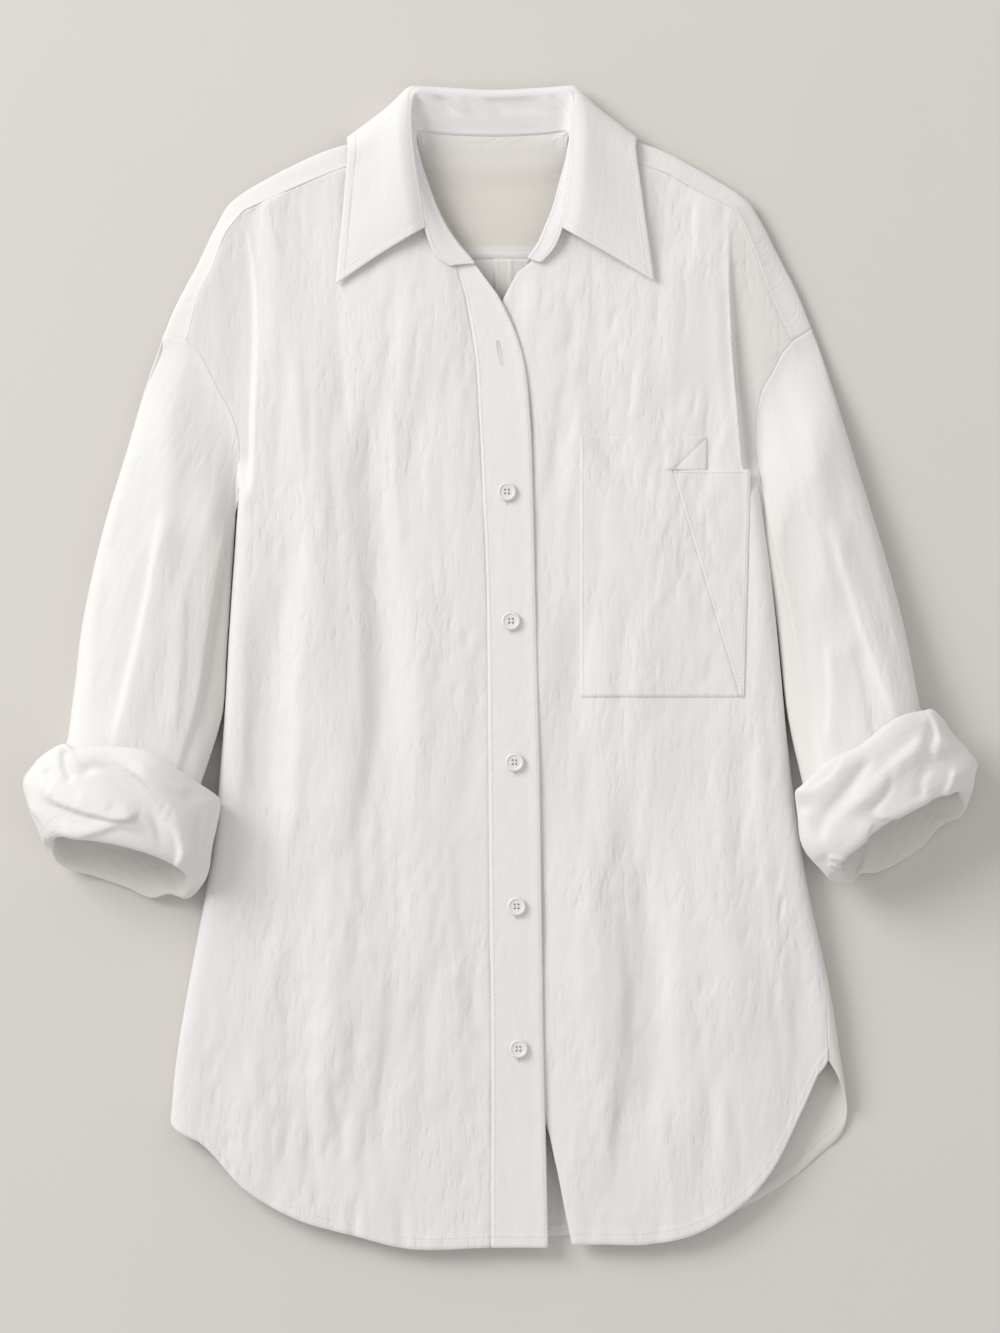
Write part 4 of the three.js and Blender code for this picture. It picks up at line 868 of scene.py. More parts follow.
# The yoke, a row for each section: where it is sewn to the front or the neck, the fold
# along the shoulder, where it comes down on the floor, and the seam to the back.
YOKE = [
    ((-213.2, 222.9, 9.4), (-228.5, 225.5, 5.2), (-222.5, 224.4), (-212.8, 223)),
    ((-210, 237, 9.6), (-222.5, 240, 5.2), (-217.5, 237), (-190, 230.5)),
    ((-204, 255.8, 10.2), (-214, 257, 5.4), (-208, 254), (-168, 240.5)),
    ((-196, 271, 11), (-205.5, 273, 5.8), (-199, 270), (-150, 250.5)),
    ((-186, 296, 12.2), (-193, 299, 6.4), (-187, 294), (-132, 258.5)),
    ((-174, 311.4, 12.6), (-182, 316, 6.6), (-176, 310), (-116, 264)),
    ((-134, 329, 12.7), (-137, 342, 6.8), (-133, 333), (-94, 270.5)),
    ((-109, 339, 12.3), (-110, 353, 7), (-107, 344, FLOOR + 0.8), (-78, 274.5)),
    ((-80, 347, 12), (-80, 360, 7.4), (-79, 345, FLOOR + LAYER), (-60, 276.7)),
    ((-59.5, 352, 11.8), (-60, 364, 8), (-60, 347, FLOOR + LAYER + 0.3), (-46, 277.3)),
    ((-54, 361.5, 4.6), (-52.5, 356.5, 3.8), (-51, 342, FLOOR + LAYER), (-38, 277.6)),
    ((-36, 360.2, 3), (-35, 355, 2.8), (-34, 340, FLOOR + LAYER), (-26, 277.8)),
    ((-6, 359, 3), (-6, 354, 2.8), (-6, 339, FLOOR + LAYER), (-4, 278)),
    ((25, 360.2, 3), (24, 355, 2.8), (23, 340, FLOOR + LAYER), (18, 277.8)),
    ((43.5, 361.5, 4.6), (42, 356.5, 3.8), (40.5, 342, FLOOR + LAYER), (32, 277.6)),
    ((49, 352, 11.8), (49.5, 364, 8), (49.5, 347, FLOOR + LAYER + 0.3), (40, 277.3)),
    ((78, 347, 12), (78, 360, 7.4), (77, 345, FLOOR + LAYER), (56, 276.4)),
    ((108.5, 338, 12.3), (109.5, 350.5, 7), (106, 343, FLOOR + 0.8), (76, 274.2)),
    ((131, 326, 12.6), (135, 337, 6.8), (130, 329), (92, 269)),
    ((159, 312, 12.6), (166.5, 317, 6.6), (160, 311), (112, 262.6)),
    ((165.5, 303.5, 12.2), (175.5, 304, 6.4), (169, 299), (126, 256)),
    ((173, 284.5, 11.2), (186.5, 283, 5.8), (180, 279), (142, 247.5)),
    ((184, 254.5, 10.2), (200, 256.5, 5.4), (194, 253), (170, 233.5)),
    ((199, 221.8, 9.4), (211, 229.5, 5.2), (206.5, 226.8), (198.5, 222)),
]

def back_side(side, from_y):
    sign = SIDES[side]
    seam = line(lambda y: seam_on_back(side, y), from_y, UNDERARM)
    arm = path([(float(seam_on_back(side, UNDERARM)), UNDERARM),
                *[(x - sign * SEAM, y) for x, y in ARMHOLE[side][1:-1]], BACK_ENDS[side]])
    return chain(seam, arm, SEAM_SHARE)

hem_corner = {"right": BACK_HEM[0][1], "left": BACK_HEM[-1][1]}
corners = {side: (float(seam_on_back(side, y)), y) for side, y in hem_corner.items()}
bottom = path([corners["right"], *BACK_HEM[1:-1], corners["left"]])
below_yoke = [(row[3][0], row[3][1] - YOKE_GAP) for row in YOKE[1:-1]]
top = path([BACK_ENDS["right"], *below_yoke, BACK_ENDS["left"]])
BACK_U = steps((0.1, 26), (0.46, 32), (0.58, 52), (0.9, 28), (1.0, 26))
flat = patch(bottom, top, *[back_side(side, y) for side, y in hem_corner.items()], BACK_U, BACK_V)
s, y = flat[..., 0], flat[..., 1]
grid = wrap_back(s, y)
back_arm = {"right": grid[BACK_V >= SEAM_SHARE, 0], "left": grid[BACK_V >= SEAM_SHARE, -1]}
raised = 1 - smooth(PLEAT_HALF, PLEAT_HALF + 1.2, np.abs(s - PLEAT_X))
grid[..., 2] += 1.5 * raised * smooth(*PLEAT_FADE, y)
across, along = distances(grid, 1), distances(grid, 0)
calm = smooth(0, 8, across) * smooth(0, 8, across[:, -1:] - across)
calm = calm * smooth(0, 6, along[-1:] - along)
relief = 0.25 * calm * np.maximum(wrinkled(s, y, 29) + 0.1, -0.3) + hem(across, along, seed=44)
for fold_x in (PLEAT_X - PLEAT_HALF, PLEAT_X - 1):
    relief = relief + 0.5 * bump(s, fold_x, 1.1) * smooth(*PLEAT_FADE, y)
# The back's cotton is darker and warmer than the front's: painted shade.
piece, back_top = cloth("back_cloth", grid, relief, SHADED_COTTON, chart=(s, y))
declare(piece, "back")
stitch(back_top, "bottom", HEM_STITCH)

# %% [markdown]
# ## The collar
# The stand is sewn round the neck and leans outwards, and the leaf hangs from its upper
# edge, bends over and lies on the shoulders with its two long points. A loft makes both:
# each column of the table is a rail round the neck, and every cross section is a smooth
# curve through the rails. Both are pressed, so they carry few wrinkles, only the soft
# ridge of the folded-in edge, and some puckers on the stand behind the neck.

# %% Tables of the collar
STAND = [  # the neck seam, the middle and the upper edge
    ((-17.2, 273.8, 16.3), (-26, 273.2, 17.4), (-34.6, 272.2, 17.6)),
    ((-21, 278.6, 16.2), (-31, 277.4, 17.8), (-41.6, 277, 18.4)),
    ((-27, 285.6, 15.6), (-36.5, 284.6, 18), (-46.4, 284, 19.4)),
    ((-34.6, 296, 14.8), (-42.6, 295.2, 18.6), (-50.4, 295, 20.6)),
    ((-43.2, 312.4, 14), (-48.6, 312, 19), (-53, 312, 21.6)),
    ((-50.8, 332.6, 13.6), (-54.4, 333, 19), (-56.6, 333.6, 22.4)),
    ((-55.4, 348, 14), (-58, 352, 18.6), (-59.4, 354, 22)),
    ((-57.4, 361.8, 9.6), (-59.4, 370, 14.6), (-60.4, 377, 19.4)),
    ((-52, 363.6, 5.2), (-54.8, 376.5, 10.4), (-57.6, 389.6, 15.6)),
    ((-40, 362.4, 3.9), (-40.5, 376, 8.6), (-41, 389.8, 13.4)),
    ((-6, 361, 3.6), (-6, 374.6, 8), (-6, 388.4, 12.6)),
    ((30, 362.4, 3.9), (30.5, 376, 8.6), (31, 389.8, 13.4)),
    ((42, 363.6, 5.2), (44.2, 376.5, 10.4), (46.8, 390, 15.6)),
    ((46.8, 361.8, 9.6), (48.4, 370, 14.6), (49.2, 377, 19.4)),
    ((45.2, 348, 14.6), (47.4, 352, 18.6), (48.6, 354, 22)),
    ((41.2, 332.6, 14.8), (44.6, 332.8, 18.6), (47, 333, 22.2)),
    ((35.4, 311.4, 15), (40.4, 311, 17.8), (44.6, 311, 21.2)),
    ((30.4, 299, 15.2), (36, 297.6, 18), (41.4, 296, 19.8)),
    ((25.2, 287.4, 15.6), (30.8, 285.4, 17.4), (36.4, 284.4, 18.8)),
    ((18.6, 277.6, 15.8), (23.2, 275.6, 16.8), (27.8, 274.6, 17.4)),
]
LEAF = [  # the root on the stand, the bend, the middle and the edge
    ((-52.8, 297.6, 22.6), (-58, 294.2, 23.6), (-82, 279.6, 20.8), (-111, 260, 18.6)),
    ((-54.8, 312, 23.6), (-60, 310.6, 24.8), (-84, 300, 21.2), (-109, 283, 17.4)),
    ((-58.2, 334, 24.4), (-63.4, 333.6, 25.4), (-84, 324, 20.6), (-106.6, 308, 16.8)),
    ((-60.8, 354, 24), (-65.4, 354.8, 24.6), (-84, 346, 19.8), (-104.4, 333, 16.4)),
    ((-61.6, 371, 21.6), (-65, 373, 21.6), (-84, 362, 18), (-103, 352, 15.4)),
    ((-61, 382, 19.4), (-64, 386, 17.6), (-84, 373.6, 12), (-103.4, 359.4, 9)),
    ((-58.6, 390.4, 17.6), (-61.8, 393.4, 11.4), (-79, 374, 2.6), (-97.4, 357.4, 1.8)),
    ((-52, 391.2, 16), (-53.6, 393.6, 8.4), (-62, 371), (-78, 346.6)),
    ((-40, 391.2, 15), (-40.6, 393, 7), (-43, 370), (-50, 344.6)),
    ((-6, 389.8, 14.2), (-6, 391.4, 6.6), (-6, 368), (-6, 343.8)),
    ((30, 391.2, 15), (30.6, 393, 7), (33, 370), (40, 344.6)),
    ((41.4, 391.4, 16), (43, 393.8, 8.4), (51, 371), (67, 346.6)),
    ((47.6, 391, 17.6), (50.8, 393.6, 11.4), (67.4, 374, 2.6), (86, 357.4, 1.8)),
    ((50, 382, 19.4), (53, 386, 17.6), (72.6, 373.6, 12), (91.6, 359.4, 9)),
    ((50.4, 371, 21.6), (54, 373, 21.6), (72.6, 362, 18), (91.4, 352, 15.4)),
    ((50, 354, 24), (54.6, 354.8, 24.6), (73.6, 346, 19.8), (94, 333, 16.4)),
    ((48.6, 333.6, 24.2), (53.8, 333.4, 25.2), (74.6, 324, 20.6), (97.4, 308, 16.8)),
    ((46.2, 312, 23.4), (51.4, 310.6, 24.6), (75.6, 300, 21.2), (101, 284, 17.4)),
    ((43.8, 297.4, 22), (49, 293.8, 23.2), (74, 279.8, 20.8), (104, 261.8, 18.6)),
]

# %% A surface through a table of sections
def loft(table, t, s):
    """A grid of points through a table of sections: rows follow t and columns s."""
    rails = [rail([row[k] for row in table])(t) for k in range(len(table[0]))]
    made = []
    for points in zip(*rails):
        curve = smooth_curve(points, COARSE)
        made.append(sampled(curve, np.linspace(0, 1, len(curve)))(s))
    return np.array(made)

# %% Build the collar
grid = loft(STAND, steps((1.0, 260)), steps((1.0, 16)))[:, ::-1]
stand_top, stand_neck = grid[:, 0], grid[:, -1]
across, along = distances(grid, 1), distances(grid, 0)
behind = smooth(355, 362, grid[..., 1])
pucker = noise(along / 6, across / 40, 61) * smooth(17, 10, across) * smooth(1.5, 5, across)
relief = 0.08 * wrinkled(across, along, 60) + 2.0 * behind * pucker
neck_away = across[:, -1:] - across
relief = relief + 0.35 * bump(neck_away, 1.5, 1.0)
piece, stand_face = cloth("collar_stand_cloth", grid, relief, BAND, thick=1.0)
declare(piece, "collar_stand")
stitch(stand_face, "right", EDGE_STITCH)
for start, end in ((0.0, 0.32), (0.68, 1.0)):
    stitch(stand_face, "left", 2.0, start, end)

grid = loft(LEAF, steps((0.3, 84), (0.7, 50), (1.0, 84)), steps((1.0, 52)))[:, ::-1]
grid = sewn_to(grid, "right", stand_top, limit=9.0, fade=9.0)
across, along = distances(grid, 1), distances(grid, 0)
ends = np.minimum(along, along[-1:] - along)
edge = np.minimum(across, ends)
relief = 0.10 * wrinkled(grid[..., 0], grid[..., 1], 63, 1.2) + 0.25 * (1 - smooth(5.6, 6.8, edge))
relief = relief - 0.22 * bump(edge, COLLAR_STITCH, 0.8)
relief = relief + 0.10 * bump(edge, COLLAR_STITCH, 4) * noise(along / 6, across / 6, 64)
piece, leaf_top = cloth("collar_leaf_cloth", grid, relief, BAND, thick=1.1)
declare(piece, "collar_leaf")
for edge, start, end in (("left", 0.0, 0.33), ("left", 0.67, 1.0), ("bottom", 0.08, 0.94),
                         ("top", 0.08, 0.94)):
    stitch(leaf_top, edge, COLLAR_STITCH, start, end)

# %% [markdown]
# ## The yoke
# The yoke goes over both shoulders in one piece, and a loft makes it too. Its front edge
# is then drawn to what it is sewn to: the right front, the stand and the left front.

# %% Build the yoke
YOKE_BAND, YOKE_GROOVE = (8.4, 9.2), 9.6  # the turned-in edge at the back seam

def lowest_quarter(row):
    """One more point on the floor keeps the curve down between the last two."""
    (dx, dy), (bx, by) = row[2][:2], row[3][:2]
    return mix(dx, bx, 0.25), mix(dy, by, 0.25)

sections = [(row[0], row[1], row[2], lowest_quarter(row), row[3]) for row in YOKE]
grid = loft(sections, steps((1.0, 270)), steps((0.5, 34), (1.0, 20)))
grid[..., 2] = np.maximum(grid[..., 2], FLOOR)
front_seam = np.vstack([yoke_lines["right"], stand_neck, yoke_lines["left"][::-1]])
grid = sewn_to(grid, "left", front_seam, limit=8.0)
yoke_ends = {"right": grid[0], "left": grid[-1]}
across, along = distances(grid, 1), distances(grid, 0)
inner_side = smooth(5, 2, grid[..., 2])
relief = 0.22 * wrinkled(grid[..., 1], grid[..., 0], 33, 0.9) * smooth(0, 8, across)
relief = relief * (1 - 0.95 * inner_side)
relief = np.maximum(relief, -0.2) + seam_groove(across, 56, along)
from_back = across[:, -1:] - across
past_band = smooth(*YOKE_BAND, from_back)
relief = relief + 0.5 * (1 - past_band) - 0.4 * bump(from_back, YOKE_GROOVE, 0.8)
# Painted shade on the yoke's inner side, where it lies on the floor inside the neck; the band at
# the back seam is left without it.
inner_side = inner_side * past_band
piece, yoke_top = cloth("yoke_cloth", grid, relief, SLEEVE, painted_shade=inner_side, chart=(along, across))
declare(piece, "yoke")
for edge, inset, start, end in (("left", 2.0, 0.02, 0.4), ("left", 2.0, 0.6, 0.98),
                                ("right", 6.0, 0.3, 0.7)):
    stitch(yoke_top, edge, inset, start, end)

# %% [markdown]
# ## The sleeves
# A sleeve is a flattened tube. The grid runs round it: half of the columns are the upper
# side, half the lower one. Long folds run down from the shoulder to the rolled cuff.

# %% Tables of the sleeves
SLEEVES = {
    "right": {
        "outer": [(-228.8, 224.6), (-241, 189), (-253, 148), (-265.5, 107), (-276, 66), (-284, 25),
                  (-288, -10)],
        "inner": [(-178.8, 118.4), (-180.9, 80), (-183.6, 40), (-185.9, 5), (-188.4, -30)]},
    "left": {
        "outer": [(211.4, 229), (225, 189), (238, 148), (251, 107), (263.5, 66), (274, 25),
                  (280.5, -8)],
        "inner": [(177.8, 118.4), (180.5, 80), (186.2, 40), (190.4, 5), (194.4, -30)]}}
SLEEVE_FOLDS = {  # points seen from above, height, width left and right of the way it runs
    "right": [
        ([(-221, 195), (-224, 130), (-229, 60)], 1.8, 9, 9),
        ([(-226, 116), (-233, 72), (-241, 28), (-251, -14), (-262, -62)], 3.2, 15, 2.6),
        ([(-272, 76), (-277, 20), (-281, -40)], 1.8, 7, 4),
        ([(-214, 60), (-216, 0), (-220, -50)], 1.4, 3, 8),
        ([(-258, 120), (-266, 80)], 1.2, 4, 8)],
    "left": [
        ([(208, 190), (216, 110), (224, 30)], 2.4, 12, 9),
        ([(222, 104), (232, 70), (244, 30), (257, -8), (270, -44)], 2.8, 11, 3.2),
        ([(221, 20), (223, -16), (220, -56)], 1.8, 9, 2.0),
        ([(244, 130), (256, 70), (268, 20)], 1.5, 4, 10),
        ([(238, 20), (248, -20), (252, -50)], -1.6, 6, 4)]}
CUFFS = {
    "right": {"middle": (-256, -104, 31), "wide": 55, "tall": 26, "lean": 16, "deep": 31,
              "turn": -12},
    "left": {"middle": (260, -88, 31), "wide": 54, "tall": 26, "lean": 14, "deep": 28,
             "turn": 30}}
SLEEVE_HALF, SLEEVE_PAST = 45.8, 0.3  # half the sleeve's width at the cuff, and its gap there
SLEEVE_INTO, SLEEVE_WIDER = 2.5, 3.2  # how far its end goes into the cuff and spreads in it
ARM_SIDE, ARM_RISE, UNDERARM_RISE = 5.2, 4.4, 2.6  # heights along the armhole

def cuff_axes(side):
    """The directions across the arm and up it, and the middle of the cuff."""
    turn = math.radians(CUFFS[side]["turn"])
    c, s = math.cos(turn), math.sin(turn)
    return np.array([c, s, 0]), np.array([-s, c, 0]), np.array(CUFFS[side]["middle"], float)

# %% Build the sleeves
def inner_x(side, y):
    """Where the sleeve's inner edge lies at a height."""
    points = np.array(SLEEVES[side]["inner"][::-1])
    return np.interp(y, points[:, 1], points[:, 0])

def sleeve_grid(side, count, v):
    """The columns go round the tube, from its outer edge over the top to the inner one."""
    spec, sign, cuff = SLEEVES[side], SIDES[side], CUFFS[side]
    across, armward, centre = cuff_axes(side)
    ends = [centre + across * share * SLEEVE_HALF * sign + armward * (cuff["deep"] + SLEEVE_PAST)
            for share in (1, -1)]
    outer = path([*spec["outer"], tuple(ends[0][:2])])
    inner = path([*spec["inner"], tuple(ends[1][:2])])
    points = [spec["outer"][0], *ARMHOLE[side][::-1][:-1], spec["inner"][0]]
    apart = [0, *[0.3 * (2 + float(smooth(3, 5, i))) for i in range(1, len(points) - 1)], 0]
    seam = path([(x + sign * a, y - a) for (x, y), a in zip(points, apart)])
    angle = 2 * math.pi * np.arange(count) / count
    if sign > 0:
        angle = 2 * math.pi - angle
    w = (1 - np.cos(angle)) / 2
    order = np.argsort(w)
    plan = np.empty((len(v), count, 3))
    cuff_line = lambda t: mix(outer(1.0), inner(1.0), np.asarray(t)[..., None])
    plan[:, order] = patch(seam, cuff_line, outer, inner, w[order], v)
    W, V, sine = w[None, :], v[:, None], np.sin(angle)[None, :]
    above = sine >= 0
    arm_top = ARM_SIDE + ARM_RISE * np.sin(np.minimum(W / 0.24, 1) * math.pi / 2)
    arm_top = arm_top + UNDERARM_RISE * smooth(0.7, 1, W)
    arm_low = FLOOR + (ARM_SIDE - FLOOR) * (1 - smooth(0, 0.08, W)) + 11.6 * smooth(0.95, 1, W)
    side_height = 8 + 14 * V**4
    round_ = np.maximum(1 - (2 * W - 1) ** 2, 0) ** 0.32
    lean = 1 - 0.38 * smooth(0.80, 0.86, W) * (1 - V**4)
    ring_top = side_height + (17 + 3 * V + 6.1 * V**4) * round_ * lean
    ring_low = FLOOR + (side_height - FLOOR) * (1 - smooth(0, 0.07, np.minimum(W, 1 - W)))
    blend = smooth(0, 0.3, V)
    fold = crease_lift(SLEEVE_FOLDS[side], plan[..., 0], plan[..., 1])
    fold = fold * np.maximum(sine, 0) ** 0.25
    into = -SLEEVE_INTO * sine * smooth(0.85, 1, V)
    slide = np.where(above, into, cuff["lean"] * sine * smooth(0.7, 1, V))
    wider = SLEEVE_WIDER * smooth(0.16, 0, W) * smooth(0.94, 1, V)
    plan = plan + armward * slide[..., None] + across * sign * wider[..., None]
    arm, ring = np.where(above, arm_top, arm_low), np.where(above, ring_top, ring_low)
    plan[..., 2] = mix(arm, ring, blend) + fold * blend
    return plan

for side in SIDES:
    grid = sleeve_grid(side, 180, steps((1.0, 126)))
    armhole = np.vstack([arm_lines[side], yoke_ends[side], back_arm[side][::-1]])
    grid = sewn_to(grid, "bottom", armhole, limit=8.0, fade=16.0)
    across, along = distances(grid, 1), distances(grid, 0)
    x, y = grid[..., 0], grid[..., 1]
    soft = wrinkled(x + 0.22 * SIDES[side] * y, y, 70 if side == "right" else 80, 1.25)
    relief = np.where(grid[..., 2] > FLOOR + 1.5, 0.45 * soft, np.maximum(0.1 * soft, -0.1))
    relief = relief * smooth(0, 10, along) + seam_groove(along, 57, across)
    # Painted shade: darker, warmer colour on the strip next to the body and wherever the sleeve
    # lies on the floor.
    shaded = smooth(20, 12, SIDES[side] * (x - inner_x(side, y))) * smooth(150, 70, y)
    shaded = np.where(grid[..., 2] < 4, 1, 0.55 * shaded)
    piece, _ = cloth(f"sleeve_{side}_cloth", grid, relief, SLEEVE, around=True, painted_shade=shaded)
    declare(piece, f"sleeve_{side}")

# %% [markdown]
# ## The rolled cuffs
# Each sleeve end is rolled up several times, and the roll is thick and full of folds. It
# starts as a ring with a rounded section round a tilted oval mouth. Its outline is then
# fitted to a list of distances from the middle, and creases are laid over it: each is a
# short path seen from above, with a sharp or a soft profile.

# %% Tables of the cuffs
OUTLINES = {
    "right": [
        (-287, -53), (-294, -51), (-322, -74), (-319, -93), (-313, -108), (-303, -130),
        (-293, -137), (-275, -142), (-255, -149), (-237, -157), (-224, -154), (-212, -157),
        (-198, -142), (-194, -117), (-190, -90), (-193, -86), (-206, -76), (-232, -58),
        (-250, -53), (-273, -52)],
    "left": [
        (284, -28), (291, -27.5), (306, -45), (322, -65), (321, -70), (314, -100), (300, -107),
        (285, -123), (259, -138), (251, -140), (244, -140), (237, -146.5), (226, -146.5),
        (217, -138), (204, -122), (200, -96), (198, -83), (202, -79), (211, -70), (220, -61.5),
        (239, -53), (251, -44), (268, -32)]}
CREASES = {  # points seen from above, height, width left and right of the way it runs
    "right": [
        ([(-264, -58), (-242, -73), (-231, -86), (-223, -98), (-217, -112), (-215, -126),
          (-220, -137)], 5.0, 16, 1.3),
        ([(-314, -79), (-303, -87), (-295, -91), (-273, -98), (-250, -101), (-240, -95)],
         4.4, 12, 1.3),
        ([(-294, -53), (-293, -66), (-287, -78)], -3.2, 4, 1.6),
        ([(-281, -76), (-277, -69), (-268, -68), (-255, -77), (-241, -89), (-231, -102),
          (-226, -126)], -2.8, 5, 3),
        ([(-302, -106), (-286, -112), (-270, -109), (-253, -104), (-236, -111)], 2.2, 6, 3),
        ([(-203, -98), (-205, -116), (-207, -132)], -1.1, 2, 2.4),
        ([(-197, -92), (-198, -120)], 1.0, 2.5, 3),
        ([(-229, -133), (-224, -146), (-217, -155)], 2.2, 4, 1.4),
        ([(-320, -90), (-307, -104), (-301, -120)], 1.8, 5, 2),
        ([(-284, -84), (-270, -86), (-258, -92)], 1.6, 2, 6),
        ([(-246, -62), (-226, -76), (-208, -84)], 1.2, 2, 6),
        ([(-306, -68), (-300, -80)], -1.6, 3, 2)],
    "left": [
        ([(287, -27), (292, -42), (293, -47), (290, -55), (289, -63)], 3.0, 10, 1.2),
        ([(287, -44), (272, -58), (251, -78), (225, -102)], 3.4, 7, 3.4),
        ([(250, -58), (240, -72), (227, -90), (216, -104), (215, -120)], -3.0, 3.6, 5),
        ([(308, -54), (290, -57), (270, -65)], 1.8, 2, 6),
        ([(288, -66), (282, -77), (283, -90)], -1.4, 2.4, 5),
        ([(306, -66), (300, -82), (292, -96)], 2.2, 10, 2.0),
        ([(220, -127), (235, -129)], 1.3, 1.5, 1.5),
        ([(220, -132), (233, -134)], 1.1, 1.4, 1.4),
        ([(222, -137), (233, -138)], 0.9, 1.4, 1.4),
        ([(206, -92), (209, -112), (218, -131)], 2.0, 3, 7),
        ([(249, -102), (245, -112), (239, -126), (236, -142)], 2.2, 1.6, 8),
        ([(248, -100), (264, -100), (277, -95), (294, -90)], 2.0, 6, 1.6),
        ([(232, -60), (222, -74), (208, -84)], 1.4, 6, 2.4),
        ([(262, -66), (258, -84), (246, -98)], -1.4, 3, 2)]}
CUFF_AROUND, CUFF_SECTION = 260, 132  # points round the mouth, and round the roll's section
THIN, THICK = 6.0, 8.5  # half the roll's thickness, on the floor and above
DIRECTIONS = 180  # in which the outline is measured

# %% Build the cuffs
def outline_reach(points, angle):
    """How far an outline lies from the origin in each direction."""
    ring = smooth_curve([*points, points[0]], 14)[:, :2]
    where = np.arctan2(ring[:, 1], ring[:, 0])
    order = np.argsort(where)
    reach = np.hypot(ring[order, 0], ring[order, 1])
    return np.interp(angle, where[order], reach, period=2 * math.pi)

def cuff_grid(side):
    """A ring round the mouth: rows go round it, and columns round the roll's section."""
    cuff = CUFFS[side]
    across, armward, centre = cuff_axes(side)
    up = np.array([0, 0, 1.0])
    phi = 2 * math.pi * np.arange(CUFF_AROUND)[:, None] / CUFF_AROUND
    psi = 2 * math.pi * np.arange(CUFF_SECTION)[None, :] / CUFF_SECTION
    c, s = np.cos(phi)[..., None], np.sin(phi)[..., None]
    outward = unit(across * c * cuff["tall"] + up * s * cuff["wide"])
    half = mix(THIN, THICK, smooth(-1, 0, np.sin(phi)))
    inner = half * mix(0.4, 1, smooth(-0.9, 0.1, np.sin(phi)))
    half = np.where(np.sin(psi) > 0, half, inner)
    power = mix(0.36, 0.62, smooth(-0.7, 0.2, np.sin(phi)))
    squared = lambda v: np.sign(v) * np.abs(v) ** power
    base = centre + across * (c * cuff["wide"]) + up * (s * cuff["tall"])
    base = base + armward * (s * cuff["lean"])
    grid = base + armward * (squared(np.cos(psi)) * cuff["deep"])[..., None]
    return grid + outward * (squared(np.sin(psi)) * half)[..., None], centre

def fitted(grid, centre, outline):
    """Scales a ring seen from above until it fills an outline. Its mouth stays as it is."""
    offset = grid - centre
    angle = np.arctan2(offset[..., 1], offset[..., 0])
    far = np.hypot(offset[..., 0], offset[..., 1])
    bins = np.linspace(-math.pi, math.pi, DIRECTIONS + 1)
    place = np.digitize(angle.ravel(), bins) - 1
    reach = np.full(DIRECTIONS, far.max())
    for k in range(DIRECTIONS):
        if (place == k).any():
            reach[k] = far.ravel()[place == k].max()
    own = np.interp(angle, (bins[:-1] + bins[1:]) / 2, reach, period=2 * math.pi)
    wanted = outline_reach([(x - centre[0], y - centre[1]) for x, y in outline], angle)
    outer_share = smooth(0.35, 0.95, far / own)
    scale = mix(1.0, np.clip(wanted / own, 0.7, 1.35), outer_share)
    made = grid.copy()
    made[..., :2] = centre[:2] + offset[..., :2] * scale[..., None]
    return made

around_section = np.sin(2 * math.pi * np.arange(CUFF_SECTION) / CUFF_SECTION)
for side, seed in (("right", 90), ("left", 95)):
    grid, centre = cuff_grid(side)
    grid = fitted(grid, centre, OUTLINES[side])
    along_ring = np.roll(grid, -1, 0) - np.roll(grid, 1, 0)
    along_section = np.roll(grid, -1, 1) - np.roll(grid, 1, 1)
    normal = unit(np.cross(along_ring, along_section))
    if (normal * (grid - centre))[..., 2][grid[..., 2] > 55].mean() < 0:
        normal = -normal
    facing = smooth(0.05, 0.5, normal[..., 2]) * smooth(14, 30, grid[..., 2])
    # Painted shade on the inner half of the roll's section, which faces into the mouth.
    roll_shade = 0.4 * smooth(0.2, -0.3, around_section)[None, :] + 0 * facing
    x, y = grid[..., 0], grid[..., 1]
    soft = wrinkled(x * 0.8 + y * 0.6, y * 0.8 - x * 0.6, seed, 1.6)
    grid = grid + normal * (facing * crease_lift(CREASES[side], x, y) + 0.42 * soft)[..., None]
    grid[..., 2] = np.maximum(grid[..., 2], 0)
    quads, places = squares(*grid.shape[:2], around=True, ring=True)
    closed = closed_round(np.concatenate([grid, grid[:1]], 0))
    a, b = distances(closed, 1), distances(closed, 0)
    points = grid.reshape(-1, 3)
    piece = mesh_object(f"cuff_roll_{side}_cloth", points, quads, SLEEVE,
                        map_corners(a, b, places) * MM, roll_shade.ravel())
    p, q, r = (points[quads[:, k]] for k in range(3))
    if np.einsum("ij,ij->i", p, np.cross(q, r)).sum() < 0:  # a negative volume: it is inside out
        piece.data.flip_normals()
    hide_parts(f"cuff_roll_{side}")
    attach(piece, "root")

# %% [markdown]
# ## The pocket
# The patch pocket is cut in two. The main piece has a band along its top whose corner is
# turned down, and a wedge is sewn to it along a slanting seam. Both lie on the front, so
# their points are the front's, moved up by one layer.

# %% Build the pocket
POCKET = {"left": 54, "top": 156, "bottom": -19.7, "band": 134, "corner": 139.8, "notch": 116,
          "side": 171, "foot": 164.7, "seam_foot": 162.2}
POCKET_LIFT = 1.05
POCKET_STEP = 0.02  # half the gap between the rows of the lower part and the band's

def on_front(x, y):
    return np.stack([x, y, under_height(x, y) + POCKET_LIFT], -1)

def pocket_seam(y):
    """The x of the slanting seam."""
    share = (y - POCKET["bottom"]) / (POCKET["band"] - POCKET["bottom"])
    return mix(POCKET["seam_foot"], POCKET["notch"], share)

